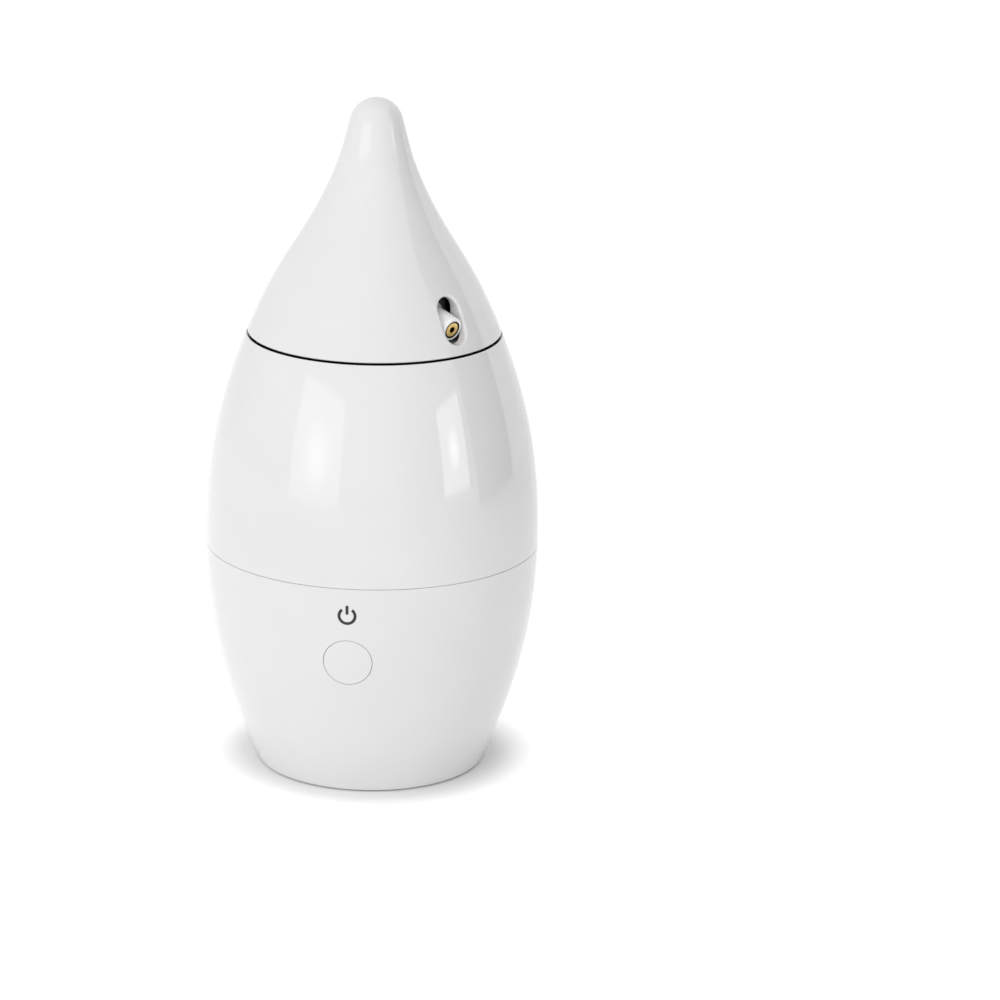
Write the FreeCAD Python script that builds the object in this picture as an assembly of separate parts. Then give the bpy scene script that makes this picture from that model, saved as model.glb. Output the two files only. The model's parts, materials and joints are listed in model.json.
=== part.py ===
import FreeCAD, Part
import math
import os

# Automatic cat laser toy: a drop-shaped casing that stands on a table. Its pointed cap turns without end
# and carries two laser barrels in tall slots. A fixed crown inside the cap lifts and drops the barrels'
# tails, so each beam also nods. Millimetres, +Z up. The origin is on the floor under the axis that the cap
# turns on, and the button faces -Y.

V = FreeCAD.Vector
UP = V(0, 0, 1)

# ---------------------------------------------------------------- casing
height = 190.0
foot_reveal = 0.3
wall = 2.4
tip_radius = 7.4
tip_lean = 15.0  # degrees that the outline still leans in where the tip's dome takes over
floor_edge_fillet = 0.8
seam_drop = 2.0  # from the bulkhead down to the parting line
seam_gap = 0.1
seam_chamfer = 0.12
cap_edge_rise = 8.3  # from the middle casing's top deck up to the cap's edge
cap_gap = 0.45
cap_edge_fillet = 0.5
rim_fillet = 0.3

# ---------------------------------------------------------------- base
base_margin = 3.2  # plastic round the door's ears
rim_width = 4.0
base_thickness = 2.5
base_clearance = 0.2
ledge_thickness = 2.4
ledge_width = 6.0
lip_thickness = 1.6
lip_height = 4.0
fit = 0.1  # gap between fixed plastic pieces that slide together

foot_radius = 4.0
foot_thickness = 1.6
foot_angles = (40.0, 140.0, 220.0, 320.0)

tie_inset = 3.8  # from the base's edge
tie_angles = (0.0, 120.0, 240.0)
tie_post_radius = 3.2
tie_screw_radius = 1.5
tie_head_radius = 2.6
tie_head_height = 1.8
base_screw_inset = 3.4
base_screw_angles = (60.0, 180.0, 300.0)
screw_radius = 1.1
screw_head_radius = 2.1
screw_head_height = 1.3
screw_bite = 6.0
case_screw_length = 7.4
small_screw_radius = 0.85
small_head_radius = 1.7
small_head_height = 0.9
small_screw_length = 4.2
small_pilot = 0.9
small_hole = 1.0
pilot_radius = 1.0
shank_radius = 0.95
board_screw_length = 4.8

# ---------------------------------------------------------------- batteries
cell_radius = 7.25
cell_length = 49.5
cell_nub_radius = 2.75
cell_nub_height = 1.0
cell_gap = 0.4
cell_clearance = 0.5
bay_wall = 1.5
bay_flange_radius = 20.5
bay_pillar_radius = 2.5
bay_pillar_height = 7.5
spring_height = 3.2
spring_radius = 3.4
spring_wire = 0.3
spring_turns = 3
contact_thickness = 0.4
contact_seat = 0.05

door_clearance = 0.3
door_thickness = 2.0
door_ear_radius = 3.2
door_lap = 0.9  # the door covers the bay's wall
door_ear_reach = 4.35

# ---------------------------------------------------------------- button and board
button_height = 42.3
button_radius = 6.65
button_gap = 0.16
button_travel = 0.8
button_flange = 1.2
button_flange_depth = 3.25
button_flange_thickness = 1.2
button_skin = 1.6
button_post_radius = 1.5
switch_depth = 7.0
switch_size = 6.0
switch_body_height = 3.5
plunger_radius = 1.7
plunger_height = 1.5
plunger_sink = 0.8
board_width = 32.0
board_tall = 26.0
board_thickness = 1.6
board_hole_inset = 3.2
board_post_radius = 2.4

# ---------------------------------------------------------------- drive
deck_thickness = 2.4
deck_radius = 41.0
post_circle = 33.0
post_angles = (-90.0, 15.0, 195.0)
post_radius = 3.2
bulkhead_screw_circle = 38.5
bulkhead_screw_angles = (-45.0, 75.0, 195.0)
lug_height = 12.0
lug_reach = 15.0  # beyond the lug's axis, well into the wall

pressure_angle = 25.0
addendum = 0.8  # of the module
dedendum = 1.05
backlash = 0.16
module_motor = 0.5
module_middle = 0.6
module_head = 0.8
teeth_pinion = 12
teeth_first = 48
teeth_first_small = 12
teeth_second = 40
teeth_second_small = 12
teeth_head = 50
second_bearing = 90.0  # direction of the second gear's axle from the column
first_bearing = 196.0  # direction of the first gear's axle from the second's
motor_bearing = 231.0  # direction of the motor's shaft from the first gear's axle
gear_face = 3.0
gear_face_head = 4.0
first_gear_rise = 4.4
level_gap = 2.4
head_gap = 2.5
axle_radius = 1.0
running = 0.05
gear_boss_radius = 2.3
pinion_overhang = 0.6
end_play = 0.2
motor_radius = 10.0
motor_length = 16.0
motor_boss_radius = 3.0
motor_boss_height = 1.5
motor_screw_place = 6.0
end_bell_height = 2.2
end_bell_boss = 1.4
terminal_length = 2.0
motor_gap = 1.4
bridge_thickness = 2.0
bridge_posts = [(15.6, 27.0), (-29.6, 14.6)]
bridge_post_radius = 2.3
bridge_pad = 0.5
bridge_gap = 1.0

# ---------------------------------------------------------------- column and turntable
column_radius = 5.5
column_flange_radius = 11.0
column_flange_height = 2.0
hub_radius = 9.0
hub_seat_radius = 8.0
hub_bore_radius = 6.0
collar_radius = 12.5
collar_drop = 4.0  # below the top deck
gear_seat = 0.3
washer_thickness = 0.6
washer_radius = 12.2
turntable_rise = 0.7  # above the cap's edge
hub_step = 2.5
turntable_thickness = 2.0
turntable_clearance = 0.4
clip_thickness = 0.6
clip_reach = 2.0
clip_groove = 0.6
hub_tail = 1.6
slip_board_thickness = 0.8
slip_inner = 15.0
slip_outer = 23.4
track_width = 2.2
track_thickness = 0.1
track_radii = (17.5, 21.5)
brush_block_width = 5.0
brush_block_height = 2.6
brush_foot = 1.0
brush_screw_place = 24.8
brush_width = 1.4
brush_thickness = 0.25
brush_reach = 6.0
brush_seat = 0.05
brush_angle = -60.0
cap_screw_circle = 26.0
cap_screw_bearings = (45.0, 135.0, 225.0, 315.0)
cap_boss_radius = 3.0

# ---------------------------------------------------------------- lasers
slot_bearing = 50.8  # from the button's direction, round to the right
slot_drop = 7.3  # below the lasers' pivots
slot_rise = 4.9  # above them
slot_width = 7.4
slot_lip = 0.7
slot_boss_radius = 26.4  # upright inner face of the boss round a slot
slot_boss_wall = 1.5
slot_boss_drop = 1.3  # below the lasers' pivots
laser_count = 2
barrel_drop = 15.0  # degrees that a barrel points below the horizontal at rest
barrel_nod = 14.0  # degrees that it can rise from there
pivot_radius = 18.0
pivot_rise = 7.3  # above the turntable
nose_reach = 13.7
nose_radius = 3.4
nose_length = 9.0
nose_edge = 0.5
barrel_radius = 4.1
barrel_length = 17.0
barrel_bore = 2.5
tail_reach = 9.0
tail_width = 3.0
tail_thickness = 2.0
tail_foot = 3.0
tail_foot_radius = 1.2
module_radius = 2.0
module_length = 10.0
module_inset = 0.1
sleeve_radius = 2.46
sleeve_length = 8.5
sleeve_inset = 0.35
aperture_radius = 0.85
lens_radius = 1.6
lens_thickness = 1.2
pin_radius = 0.8
ear_gap = 0.6
ear_thickness = 1.8
ear_width = 7.0
cradle_thickness = 1.6
cradle_length = 11.0
cradle_screw_places = [(-3.5, -2.6), (-3.5, 2.6)]  # behind the pins, clear of the barrel
crown_radius = 11.6
crown_clearance = 0.3
crown_base = 2.6
crown_groove_radius = 8.2
peg_width = 5.0
peg_height = 1.2
hub_flat = 7.3
nose_spring_reach = 8.3  # beyond the pivots
nose_spring_radius = 1.3
nose_spring_wire = 0.22
nose_spring_turns = 3
nose_spring_height = 2.4
nose_spring_pocket = 1.2

# ---------------------------------------------------------------- the base, from the batteries outwards
bay_circle = (cell_radius + cell_gap / 2) / math.cos(math.radians(30))
bay_inner = bay_circle + cell_radius + cell_clearance
bay_outer = bay_inner + bay_wall
door_radius = bay_inner + door_lap
door_screw_place = door_radius + door_ear_reach
base_radius = door_screw_place + door_ear_radius + base_margin
ledge_hole_radius = base_radius - ledge_width
foot_circle = base_radius - foot_radius
tie_circle = base_radius - tie_inset
base_screw_circle = base_radius - base_screw_inset

# ---------------------------------------------------------------- heights, from the floor up
bay_bottom = foot_reveal + base_thickness
door_top = foot_reveal + door_thickness
plate_top = door_top + contact_seat + contact_thickness
cell_bottom = plate_top + spring_height + 2 * contact_seat
cell_top = cell_bottom + cell_length + cell_nub_height
bay_top = cell_top + contact_seat + contact_thickness
bulkhead_height = bay_top + bay_wall + bay_pillar_height
seam_height = bulkhead_height - seam_drop
motor_room = motor_gap + terminal_length + end_bell_height + motor_length
deck_height = bulkhead_height + deck_thickness + motor_room
level_first = deck_height + deck_thickness + first_gear_rise
level_second = level_first + gear_face + level_gap
level_head = level_second + gear_face + head_gap
bridge_height = level_head + gear_face_head + bridge_gap
collar_bottom = level_head + gear_face_head + gear_seat
top_deck_height = collar_bottom + collar_drop
cap_height = top_deck_height + cap_edge_rise
turntable_bottom = cap_height + turntable_rise
collar_top = turntable_bottom - hub_step
pivot_height = turntable_bottom + turntable_thickness + pivot_rise
slot_bottom = pivot_height - slot_drop
slot_top = pivot_height + slot_rise
shoulder_height = cap_height + 17.7
neck_length = height - shoulder_height
# Outline of the casing: height and radius of each station, from the floor edge to the neck under the tip.
outline = [
    (foot_reveal, base_radius + rim_width),
    (12.0, 36.7),
    (36.0, 43.75),
    (seam_height + 4.0, 46.7),
    (deck_height + 4.0, 44.35),
    (cap_height - 0.3, 35.5),
    (shoulder_height, 26.9),
    (shoulder_height + neck_length / 3, 17.2),
    (shoulder_height + neck_length * 5 / 8, 10.7),
]

# ================================================================ shapes used throughout


def cylinder(radius, low, high, x=0.0, y=0.0):
    return Part.makeCylinder(radius, high - low, V(x, y, low))


def ring(inner, outer, low, high, x=0.0, y=0.0):
    return cylinder(outer, low, high, x, y).cut(cylinder(inner, low - 1, high + 1, x, y))


def block(low, high):
    size = V(*high) - V(*low)
    return Part.makeBox(size.x, size.y, size.z, V(*low))


def polar(radius, degrees):
    angle = math.radians(degrees)
    return radius * math.cos(angle), radius * math.sin(angle)


def fused(shapes):
    first, *rest = shapes
    return first.multiFuse(rest).removeSplitter() if rest else first


def turned(points):
    """A solid of revolution about Z from a closed outline of (radius, height) corners."""
    corners = [V(r, 0, z) for r, z in points]
    face = Part.Face(Part.makePolygon(corners + corners[:1]))
    return face.revolve(V(0, 0, 0), UP, 360)


def screw(radius, head_radius, head_height, length):
    """A pan-head screw along +Z: the head's seat is at Z 0 and the shank goes up."""
    body = cylinder(head_radius, -head_height, 0).fuse(cylinder(radius, -0.1, length))
    blade, slit = head_radius * 1.3, head_radius * 0.25
    for long, wide in ((blade, slit), (slit, blade)):
        low, high = -head_height - 1, -head_height * 0.4
        body = body.cut(block((-long / 2, -wide / 2, low), (long / 2, wide / 2, high)))
    return body


def small_screw(x, y, seat):
    """A small screw that goes down at a place, with its head's seat at a height."""
    made = screw(small_screw_radius, small_head_radius, small_head_height, small_screw_length)
    made.rotate(V(0, 0, 0), V(1, 0, 0), 180)
    made.translate(V(x, y, seat + 0.01))
    return made


def coil(radius, wire, low, high, turns, x=0.0, y=0.0):
    """A compression spring: a round wire along a helix with axis Z."""
    pitch = (high - low - 2 * wire) / turns
    path = Part.makeHelix(pitch, high - low - 2 * wire, radius)
    section = Part.Wire(Part.makeCircle(wire, V(radius, 0, 0), V(0, 1, 0)))
    spring = Part.Wire(path.Edges).makePipeShell([section], True, True)
    spring.translate(V(x, y, low + wire))
    return spring


# ================================================================ casing outline


def outline_curve():
    """The casing's outline in the XZ plane, from the floor edge to the dome, and the dome's centre height."""
    lean = math.radians(tip_lean)
    tip_centre = height - tip_radius
    joint = V(tip_radius * math.cos(lean), 0, tip_centre + tip_radius * math.sin(lean))
    points = [V(r, 0, z) for z, r in outline] + [joint]
    first_slope = points[1] - points[0]
    curve = Part.BSplineCurve()
    last_slope = V(-math.sin(lean), 0, math.cos(lean))
    curve.interpolate(Points=points, InitialTangent=first_slope, FinalTangent=last_slope)
    return curve, tip_centre


CURVE, TIP_CENTRE = outline_curve()


def station(at_height):
    """The point of the outline at a height, and the outward normal there."""
    low, high = CURVE.FirstParameter, CURVE.LastParameter
    for _ in range(50):
        middle = (low + high) / 2
        if CURVE.value(middle).z < at_height:
            low = middle
        else:
            high = middle
    slope = CURVE.tangent(low)[0]
    return CURVE.value(low), V(slope.z, 0, -slope.x).normalize()


def radius_at(at_height, depth=0.0):
    """Radius of the casing at a height, or of the surface that lies depth inside it."""
    for_height = at_height
    for _ in range(12):
        point, normal = station(for_height)
        for_height += at_height - (point.z - depth * normal.z)
    return point.x - depth * normal.x


def body_of_depth(depth, bottom):
    """The whole drop shape as one solid, taken in by depth all over and cut flat at its bottom."""
    if depth:
        heights = [bottom + 1.5 * depth * share for share in (0, 1)]
        heights += [z for z, _ in outline if z > heights[-1] + wall]
        points = [V(radius_at(bottom, depth), 0, bottom)]
        for at_height in heights[1:]:
            point, normal = station(at_height)
            points.append(point - normal * depth)
        end = CURVE.value(CURVE.LastParameter)
        slope = CURVE.tangent(CURVE.LastParameter)[0]
        points.append(end - V(slope.z, 0, -slope.x).normalize() * depth)
        side = Part.BSplineCurve()
        side.interpolate(Points=points, FinalTangent=slope, InitialTangent=points[1] - points[0])
    else:
        side = CURVE
    start, end = side.value(side.FirstParameter), side.value(side.LastParameter)
    top = V(0, 0, height - depth)
    middle_angle = (math.radians(tip_lean) + math.pi / 2) / 2
    reach = tip_radius - depth
    middle = V(reach * math.cos(middle_angle), 0, TIP_CENTRE + reach * math.sin(middle_angle))
    edges = [
        Part.LineSegment(V(0, 0, start.z), start).toShape(),
        side.toShape(),
        Part.Arc(end, middle, top).toShape(),
        Part.LineSegment(top, V(0, 0, start.z)).toShape(),
    ]
    return Part.Face(Part.Wire(edges)).revolve(V(0, 0, 0), UP, 360)


def slab(low, high, radius=80.0):
    return cylinder(radius, low, high)


ledge_bottom = foot_reveal + base_thickness + 0.2
ledge_top = ledge_bottom + ledge_thickness
OUTER = body_of_depth(0.0, foot_reveal)
CORE = body_of_depth(wall, ledge_top)
MIDDLE = body_of_depth(wall / 2, ledge_bottom)

# ================================================================ button frame
# Its origin is on the casing at the button's centre. Local Z points out along the casing's normal, and
# local Y points up.

button_point, button_normal = station(button_height)
button_tilt = math.degrees(math.atan2(-button_normal.z, button_normal.x))
BUTTON_FRAME = FreeCAD.Placement(
    V(0, -button_point.x, button_height),
    FreeCAD.Rotation(V(1, 0, 0), 90 + button_tilt),
)


def in_button_frame(shape):
    placed = shape.copy()
    placed.Placement = BUTTON_FRAME.multiply(placed.Placement)
    return placed


board_depth = switch_depth + plunger_height + contact_seat + switch_body_height
board_holes = [
    (sx * (board_width / 2 - board_hole_inset), sy * (board_tall / 2 - board_hole_inset))
    for sx in (-1, 1)
    for sy in (-1, 1)
]

# ================================================================ casing pieces


def lower_shell():
    top = seam_height - seam_gap / 2
    shell = OUTER.cut(CORE).common(slab(0, top))
    shell = shell.cut(cylinder(base_radius + base_clearance, -1, ledge_bottom))
    shell = shell.cut(cylinder(ledge_hole_radius, 0, ledge_top + 1))
    # a lip that goes up inside the middle shell
    lip_outer = radius_at(seam_height, wall) - 2 * fit
    lip_inner = lip_outer - lip_thickness
    lip_bottom = seam_height - 2 * lip_height
    lip = ring(lip_inner, lip_outer, lip_bottom, seam_height + lip_height)
    root = MIDDLE.common(ring(lip_inner, 2 * lip_outer, lip_bottom, seam_height - lip_height))
    posts = [
        cylinder(tie_post_radius, ledge_bottom, bulkhead_height, *polar(tie_circle, a)) for a in tie_angles
    ]
    bosses = [
        cylinder(tie_post_radius, ledge_bottom, ledge_bottom + screw_bite + 1, *polar(base_screw_circle, a))
        for a in base_screw_angles
    ]
    board_posts = [
        in_button_frame(cylinder(board_post_radius, -board_depth, 0, x, y)).common(MIDDLE)
        for x, y in board_holes
    ]
    shell = fused([shell, lip, root] + posts + bosses + board_posts)
    shell = shell.cut(in_button_frame(cylinder(button_radius + button_gap, -2 * wall, 8)))
    for angle in tie_angles:
        x, y = polar(tie_circle, angle)
        shell = shell.cut(cylinder(tie_screw_radius + fit, 0, bulkhead_height + 1, x, y))
        shell = shell.cut(cylinder(tie_head_radius + fit, 0, ledge_bottom + tie_head_height + fit, x, y))
    for angle in base_screw_angles:
        x, y = polar(base_screw_circle, angle)
        shell = shell.cut(cylinder(pilot_radius, 0, ledge_bottom + screw_bite, x, y))
    for x, y in board_holes:
        pilot = cylinder(small_pilot, -board_depth - 1, board_screw_length - board_depth, x, y)
        shell = shell.cut(in_button_frame(pilot))
    # room for the bosses that take the door's screws
    for side in (-1, 1):
        shell = shell.cut(cylinder(door_ear_radius + 0.5, 0, ledge_top + 1, 0, side * door_screw_place))
    return shell


def middle_shell():
    bottom = seam_height + seam_gap / 2
    deck_top = deck_height + deck_thickness
    lug_bottom = bulkhead_height + deck_thickness
    shell = OUTER.cut(CORE).common(slab(bottom, cap_height - cap_gap))
    plate = MIDDLE.common(slab(top_deck_height, top_deck_height + deck_thickness))
    collar = cylinder(collar_radius, collar_bottom, collar_top)
    post_top = top_deck_height + 1
    posts = [cylinder(post_radius, deck_top, post_top, *polar(post_circle, a)) for a in post_angles]
    lugs = []
    for angle in bulkhead_screw_angles:
        lug = cylinder(post_radius, lug_bottom, lug_bottom + lug_height, bulkhead_screw_circle, 0)
        web_end = bulkhead_screw_circle + lug_reach
        web = block((bulkhead_screw_circle, -1, lug_bottom), (web_end, 1, lug_bottom + lug_height))
        both = lug.fuse(web)
        both.rotate(V(0, 0, 0), UP, angle)
        lugs.append(both)
    shell = fused([shell, plate, collar] + [piece.common(MIDDLE) for piece in posts + lugs])
    shell = shell.cut(cylinder(hub_radius + running, 0, 200))
    for angle in post_angles:
        shell = shell.cut(cylinder(pilot_radius, 0, deck_top + screw_bite, *polar(post_circle, angle)))
    for angle in bulkhead_screw_angles:
        x, y = polar(bulkhead_screw_circle, angle)
        shell = shell.cut(cylinder(pilot_radius, 0, lug_bottom + screw_bite, x, y))
    low = top_deck_height + deck_thickness
    x, y = polar(brush_screw_place, brush_angle)
    return shell.cut(cylinder(small_pilot, low - small_screw_length, low + 1, x, y))


def slot_cutter(bearing):
    """A prism that cuts one laser slot: round at both ends and level all the way through the wall."""
    radius = slot_width / 2
    low, high = slot_bottom + radius, slot_top - radius
    ends = [cylinder(radius, 0, 40), cylinder(radius, 0, 40)]
    ends[1].translate(V(high - low, 0, 0))
    middle = block((0, -radius, 0), (high - low, radius, 40))
    cutter = fused(ends + [middle])
    # local X becomes up, local Z becomes outwards
    cutter.rotate(V(0, 0, 0), V(0, 1, 0), -90)
    cutter.rotate(V(0, 0, 0), UP, 180)
    cutter.translate(V(15, 0, low))
    cutter.rotate(V(0, 0, 0), UP, bearing)
    return cutter


def bearings():
    """Direction of each laser from +X at rest, in degrees."""
    first = slot_bearing - 90
    return [first + 360 / laser_count * i for i in range(laser_count)]


def slot_edges(shell):
    """The edges where the slots break through the outside of the cap."""
    found = []
    for edge in shell.Edges:
        middle = edge.valueAt((edge.FirstParameter + edge.LastParameter) / 2)
        if not slot_bottom - 0.1 <= middle.z <= slot_top + 0.1:
            continue
        reach = math.hypot(middle.x, middle.y)
        on_skin = abs(reach - radius_at(middle.z)) < 0.02
        direction = math.degrees(math.atan2(middle.y, middle.x))
        beside = min(abs((direction - bearing + 180) % 360 - 180) for bearing in bearings())
        if on_skin and beside < 12:
            found.append(edge)
    return found


def outer_edges(shell, at_height):
    """The edges that run round the outside of the casing at a height."""
    found = []
    for edge in shell.Edges:
        box = edge.BoundBox
        level = abs(box.ZMin - at_height) < 1e-4 and abs(box.ZMax - at_height) < 1e-4
        if level and box.XMax > radius_at(at_height) - 0.05:
            found.append(edge)
    return found


def slot_boss(bearing):
    """A thicker wall round a slot's upper half. Its upright inner face leaves the mould straight down."""
    half = slot_width / 2 + slot_boss_wall
    low = pivot_height - slot_boss_drop
    reach = radius_at(low)
    boss = block((slot_boss_radius, -half, low), (reach, half, slot_top + slot_boss_wall))
    boss.rotate(V(0, 0, 0), UP, bearing)
    return boss.common(MIDDLE)


def cap_shell():
    shell = OUTER.cut(CORE).common(slab(cap_height, height + 1))
    top = turntable_bottom + turntable_thickness
    places = [polar(cap_screw_circle, bearings()[0] + bearing) for bearing in cap_screw_bearings]
    bosses = [cylinder(cap_boss_radius, top, height, *place).common(MIDDLE) for place in places]
    shell = fused([shell] + bosses + [slot_boss(bearing) for bearing in bearings()])
    for bearing in bearings():
        shell = shell.cut(slot_cutter(bearing))
    shell = shell.makeFillet(slot_lip, slot_edges(shell))
    shell = shell.makeFillet(cap_edge_fillet, outer_edges(shell, cap_height))
    for place in places:
        shell = shell.cut(cylinder(pilot_radius, top - 1, top + screw_bite, *place))
    return shell


# ================================================================ base and batteries

cell_angles = (30.0, 150.0, 270.0)
cell_turned_over = (False, True, False)


def door_outline(clearance, low, high):
    """The door's plan: a disc with an ear for a screw at the front and one at the back."""
    reach = door_ear_radius + clearance
    disc = cylinder(door_radius + clearance, low, high)
    ears = [cylinder(reach, low, high, 0, side * door_screw_place) for side in (-1, 1)]
    return fused([disc, block((-reach, -door_screw_place, low), (reach, door_screw_place, high))] + ears)


def base_plate():
    top = foot_reveal + base_thickness
    plate = cylinder(base_radius, foot_reveal, top)
    for side in (-1, 1):
        boss = cylinder(door_ear_radius, top - 0.1, door_top + screw_bite + 1, 0, side * door_screw_place)
        plate = plate.fuse(boss)
    plate = plate.cut(cylinder(door_radius + door_clearance, 0, bay_bottom + 20))
    plate = plate.cut(door_outline(door_clearance, 0, door_top + fit))
    for side in (-1, 1):
        plate = plate.cut(cylinder(pilot_radius, 0, door_top + screw_bite, 0, side * door_screw_place))
    for angle in foot_angles:
        plate = plate.cut(cylinder(foot_radius + fit, 0, foot_thickness, *polar(foot_circle, angle)))
    for angle in base_screw_angles:
        x, y = polar(base_screw_circle, angle)
        plate = plate.cut(cylinder(screw_radius + fit, 0, top + 1, x, y))
        plate = plate.cut(cylinder(screw_head_radius + fit, 0, foot_reveal + screw_head_height + fit, x, y))
    return plate


def battery_bay():
    bay = ring(bay_inner, bay_outer, bay_bottom, bay_top)
    flange = ring(bay_inner, bay_flange_radius, bay_bottom, bay_bottom + bay_wall)
    roof = cylinder(bay_outer, bay_top, bay_top + bay_wall)
    pillars = [cylinder(bay_pillar_radius, bay_top, bulkhead_height, *cell_place(a)) for a in cell_angles]
    bay = fused([bay, flange, roof] + pillars)
    ear_top = door_top + screw_bite + 2
    for side in (-1, 1):
        bay = bay.cut(cylinder(door_ear_radius + fit, 0, ear_top, 0, side * door_screw_place))
    return bay


def cell_place(angle):
    return polar(bay_circle, angle)


def battery_cell(angle, turned_over):
    can = cylinder(cell_radius, 0, cell_length)
    can = can.makeFillet(0.6, [e for e in can.Edges if e.BoundBox.ZLength < 1e-6])
    cell = can.fuse(cylinder(cell_nub_radius, cell_length - 0.1, cell_length + cell_nub_height))
    if turned_over:
        cell.rotate(V(0, 0, (cell_length + cell_nub_height) / 2), V(1, 0, 0), 180)
    x, y = cell_place(angle)
    cell.translate(V(x, y, plate_top + contact_seat if turned_over else cell_bottom))
    return cell


def contact_plates(low, groups):
    """Thin plated-steel contacts: the cells of a group share one plate."""
    plates = []
    for group in groups:
        pads = [cylinder(4.4, low, low + contact_thickness, *cell_place(a)) for a in group]
        if len(group) > 1:
            (x0, y0), (x1, y1) = cell_place(group[0]), cell_place(group[1])
            strip = block((0, -2.2, low), (math.hypot(x1 - x0, y1 - y0), 2.2, low + contact_thickness))
            strip.rotate(V(0, 0, 0), UP, math.degrees(math.atan2(y1 - y0, x1 - x0)))
            strip.translate(V(x0, y0, 0))
            pads.append(strip)
        plates.append(fused(pads))
    return plates


def door_contacts():
    """Two plates on the door, with a spring under each cell that stands on its flat end."""
    plates = contact_plates(door_top + contact_seat, [cell_angles[:2], cell_angles[2:]])
    low, high = plate_top + 0.02, cell_bottom - contact_seat
    upright = [a for a, over in zip(cell_angles, cell_turned_over) if not over]
    springs = [coil(spring_radius, spring_wire, low, high, spring_turns, *cell_place(a)) for a in upright]
    return Part.makeCompound(plates + springs)


def bay_contacts():
    """Two plates under the bay's roof, with a spring over the cell that stands on its nub."""
    low = cell_top + contact_seat
    plates = contact_plates(low, [cell_angles[:1], cell_angles[1:]])
    start = plate_top + contact_seat + cell_length + cell_nub_height + contact_seat
    high = low - 0.02
    flipped = [a for a, over in zip(cell_angles, cell_turned_over) if over]
    springs = [coil(spring_radius, spring_wire, start, high, spring_turns, *cell_place(a)) for a in flipped]
    return Part.makeCompound(plates + springs)


def battery_door():
    door = door_outline(0.0, foot_reveal, door_top)
    for y in (-5.0, -2.5, 0.0, 2.5, 5.0):
        door = door.cut(block((-8, y - 0.4, 0), (8, y + 0.4, foot_reveal + 0.4)))
    for side in (-1, 1):
        place = (0, side * door_screw_place)
        door = door.cut(cylinder(screw_radius + fit, 0, door_top + 1, *place))
        door = door.cut(cylinder(screw_head_radius + fit, 0, foot_reveal + screw_head_height + fit, *place))
    return door


def door_screws():
    length = door_top - foot_reveal - screw_head_height + screw_bite - 1.5
    return screws_at(door_screw_place, (-90.0, 90.0), foot_reveal + screw_head_height, length)


def foot(angle):
    x, y = polar(foot_circle, angle)
    pad = cylinder(foot_radius, 0, foot_thickness - 0.02, x, y)
    return pad.makeFillet(0.3, [e for e in pad.Edges if e.BoundBox.ZMax < 1e-6])


def screws_at(circle, angles, seat, length):
    """Pan-head screws that go up, on a circle."""
    made = []
    for angle in angles:
        one = screw(shank_radius, screw_head_radius, screw_head_height, length)
        one.translate(V(*polar(circle, angle), seat))
        made.append(one)
    return Part.makeCompound(made)


def tie_screws():
    made = []
    for angle in tie_angles:
        seat = ledge_bottom + tie_head_height
        length = bulkhead_height + deck_thickness + 4 - seat
        one = screw(tie_screw_radius - 0.25, tie_head_radius, tie_head_height, length)
        one.translate(V(*polar(tie_circle, angle), seat))
        made.append(one)
    return Part.makeCompound(made)


def case_screws():
    """One size of screw holds the base, the bulkhead and the drive deck."""
    base_seat = foot_reveal + screw_head_height
    return Part.makeCompound(
        [
            screws_at(base_screw_circle, base_screw_angles, base_seat, case_screw_length),
            screws_at(bulkhead_screw_circle, bulkhead_screw_angles, bulkhead_height, case_screw_length),
            screws_at(post_circle, post_angles, deck_height, case_screw_length),
        ]
    )


# ================================================================ button, switch and board


def button_cap():
    shaft = in_button_frame(cylinder(button_radius, -button_flange_depth - 0.1, 8)).common(OUTER)
    flange_back = -button_flange_depth - button_flange_thickness
    flange = in_button_frame(cylinder(button_radius + button_flange, flange_back, -button_flange_depth))
    cup = in_button_frame(cylinder(button_radius - button_flange, -20, -button_skin - 0.6))
    post = in_button_frame(cylinder(button_post_radius, -switch_depth, -button_skin))
    cap = shaft.fuse(flange).cut(cup)
    return cap.fuse(post.common(OUTER)).removeSplitter()


def switch_plunger():
    top = -switch_depth - contact_seat
    return in_button_frame(cylinder(plunger_radius, top - plunger_height - plunger_sink, top))


def switch_body():
    top = -switch_depth - contact_seat - plunger_height
    half = switch_size / 2
    body = block((-half, -half, top - switch_body_height), (half, half, top))
    body = body.makeChamfer(0.4, [e for e in body.Edges if e.BoundBox.ZLength > switch_body_height - 0.1])
    well = plunger_sink + button_travel + fit
    body = body.cut(cylinder(plunger_radius + fit, top - well, top + 1))
    return in_button_frame(body)


def control_board():
    front = -board_depth
    x, y = board_width / 2, board_tall / 2
    board = block((-x, -y, front - board_thickness), (x, y, front))
    for x, y in board_holes:
        board = board.cut(cylinder(screw_radius + fit, front - 5, front + 5, x, y))
    return in_button_frame(board)


def board_screws():
    made = []
    for x, y in board_holes:
        length = board_thickness + board_screw_length - 1
        one = screw(small_screw_radius, screw_head_radius, screw_head_height, length)
        one.translate(V(x, y, -board_depth - board_thickness - 0.02))
        made.append(in_button_frame(one))
    return Part.makeCompound(made)


def control_chip():
    back = -board_depth - board_thickness
    chip = block((-5, -7, back - 1.5), (5, -1, back))
    pins = []
    for i in range(8):
        x = -4.4 + i * 1.27 - 0.2
        for y in (-8.0, -1.0):
            pins.append(block((x, y, back - 0.5), (x + 0.4, y + 1.0, back)))
    return in_button_frame(Part.makeCompound([chip.multiFuse(pins)]))


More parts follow.
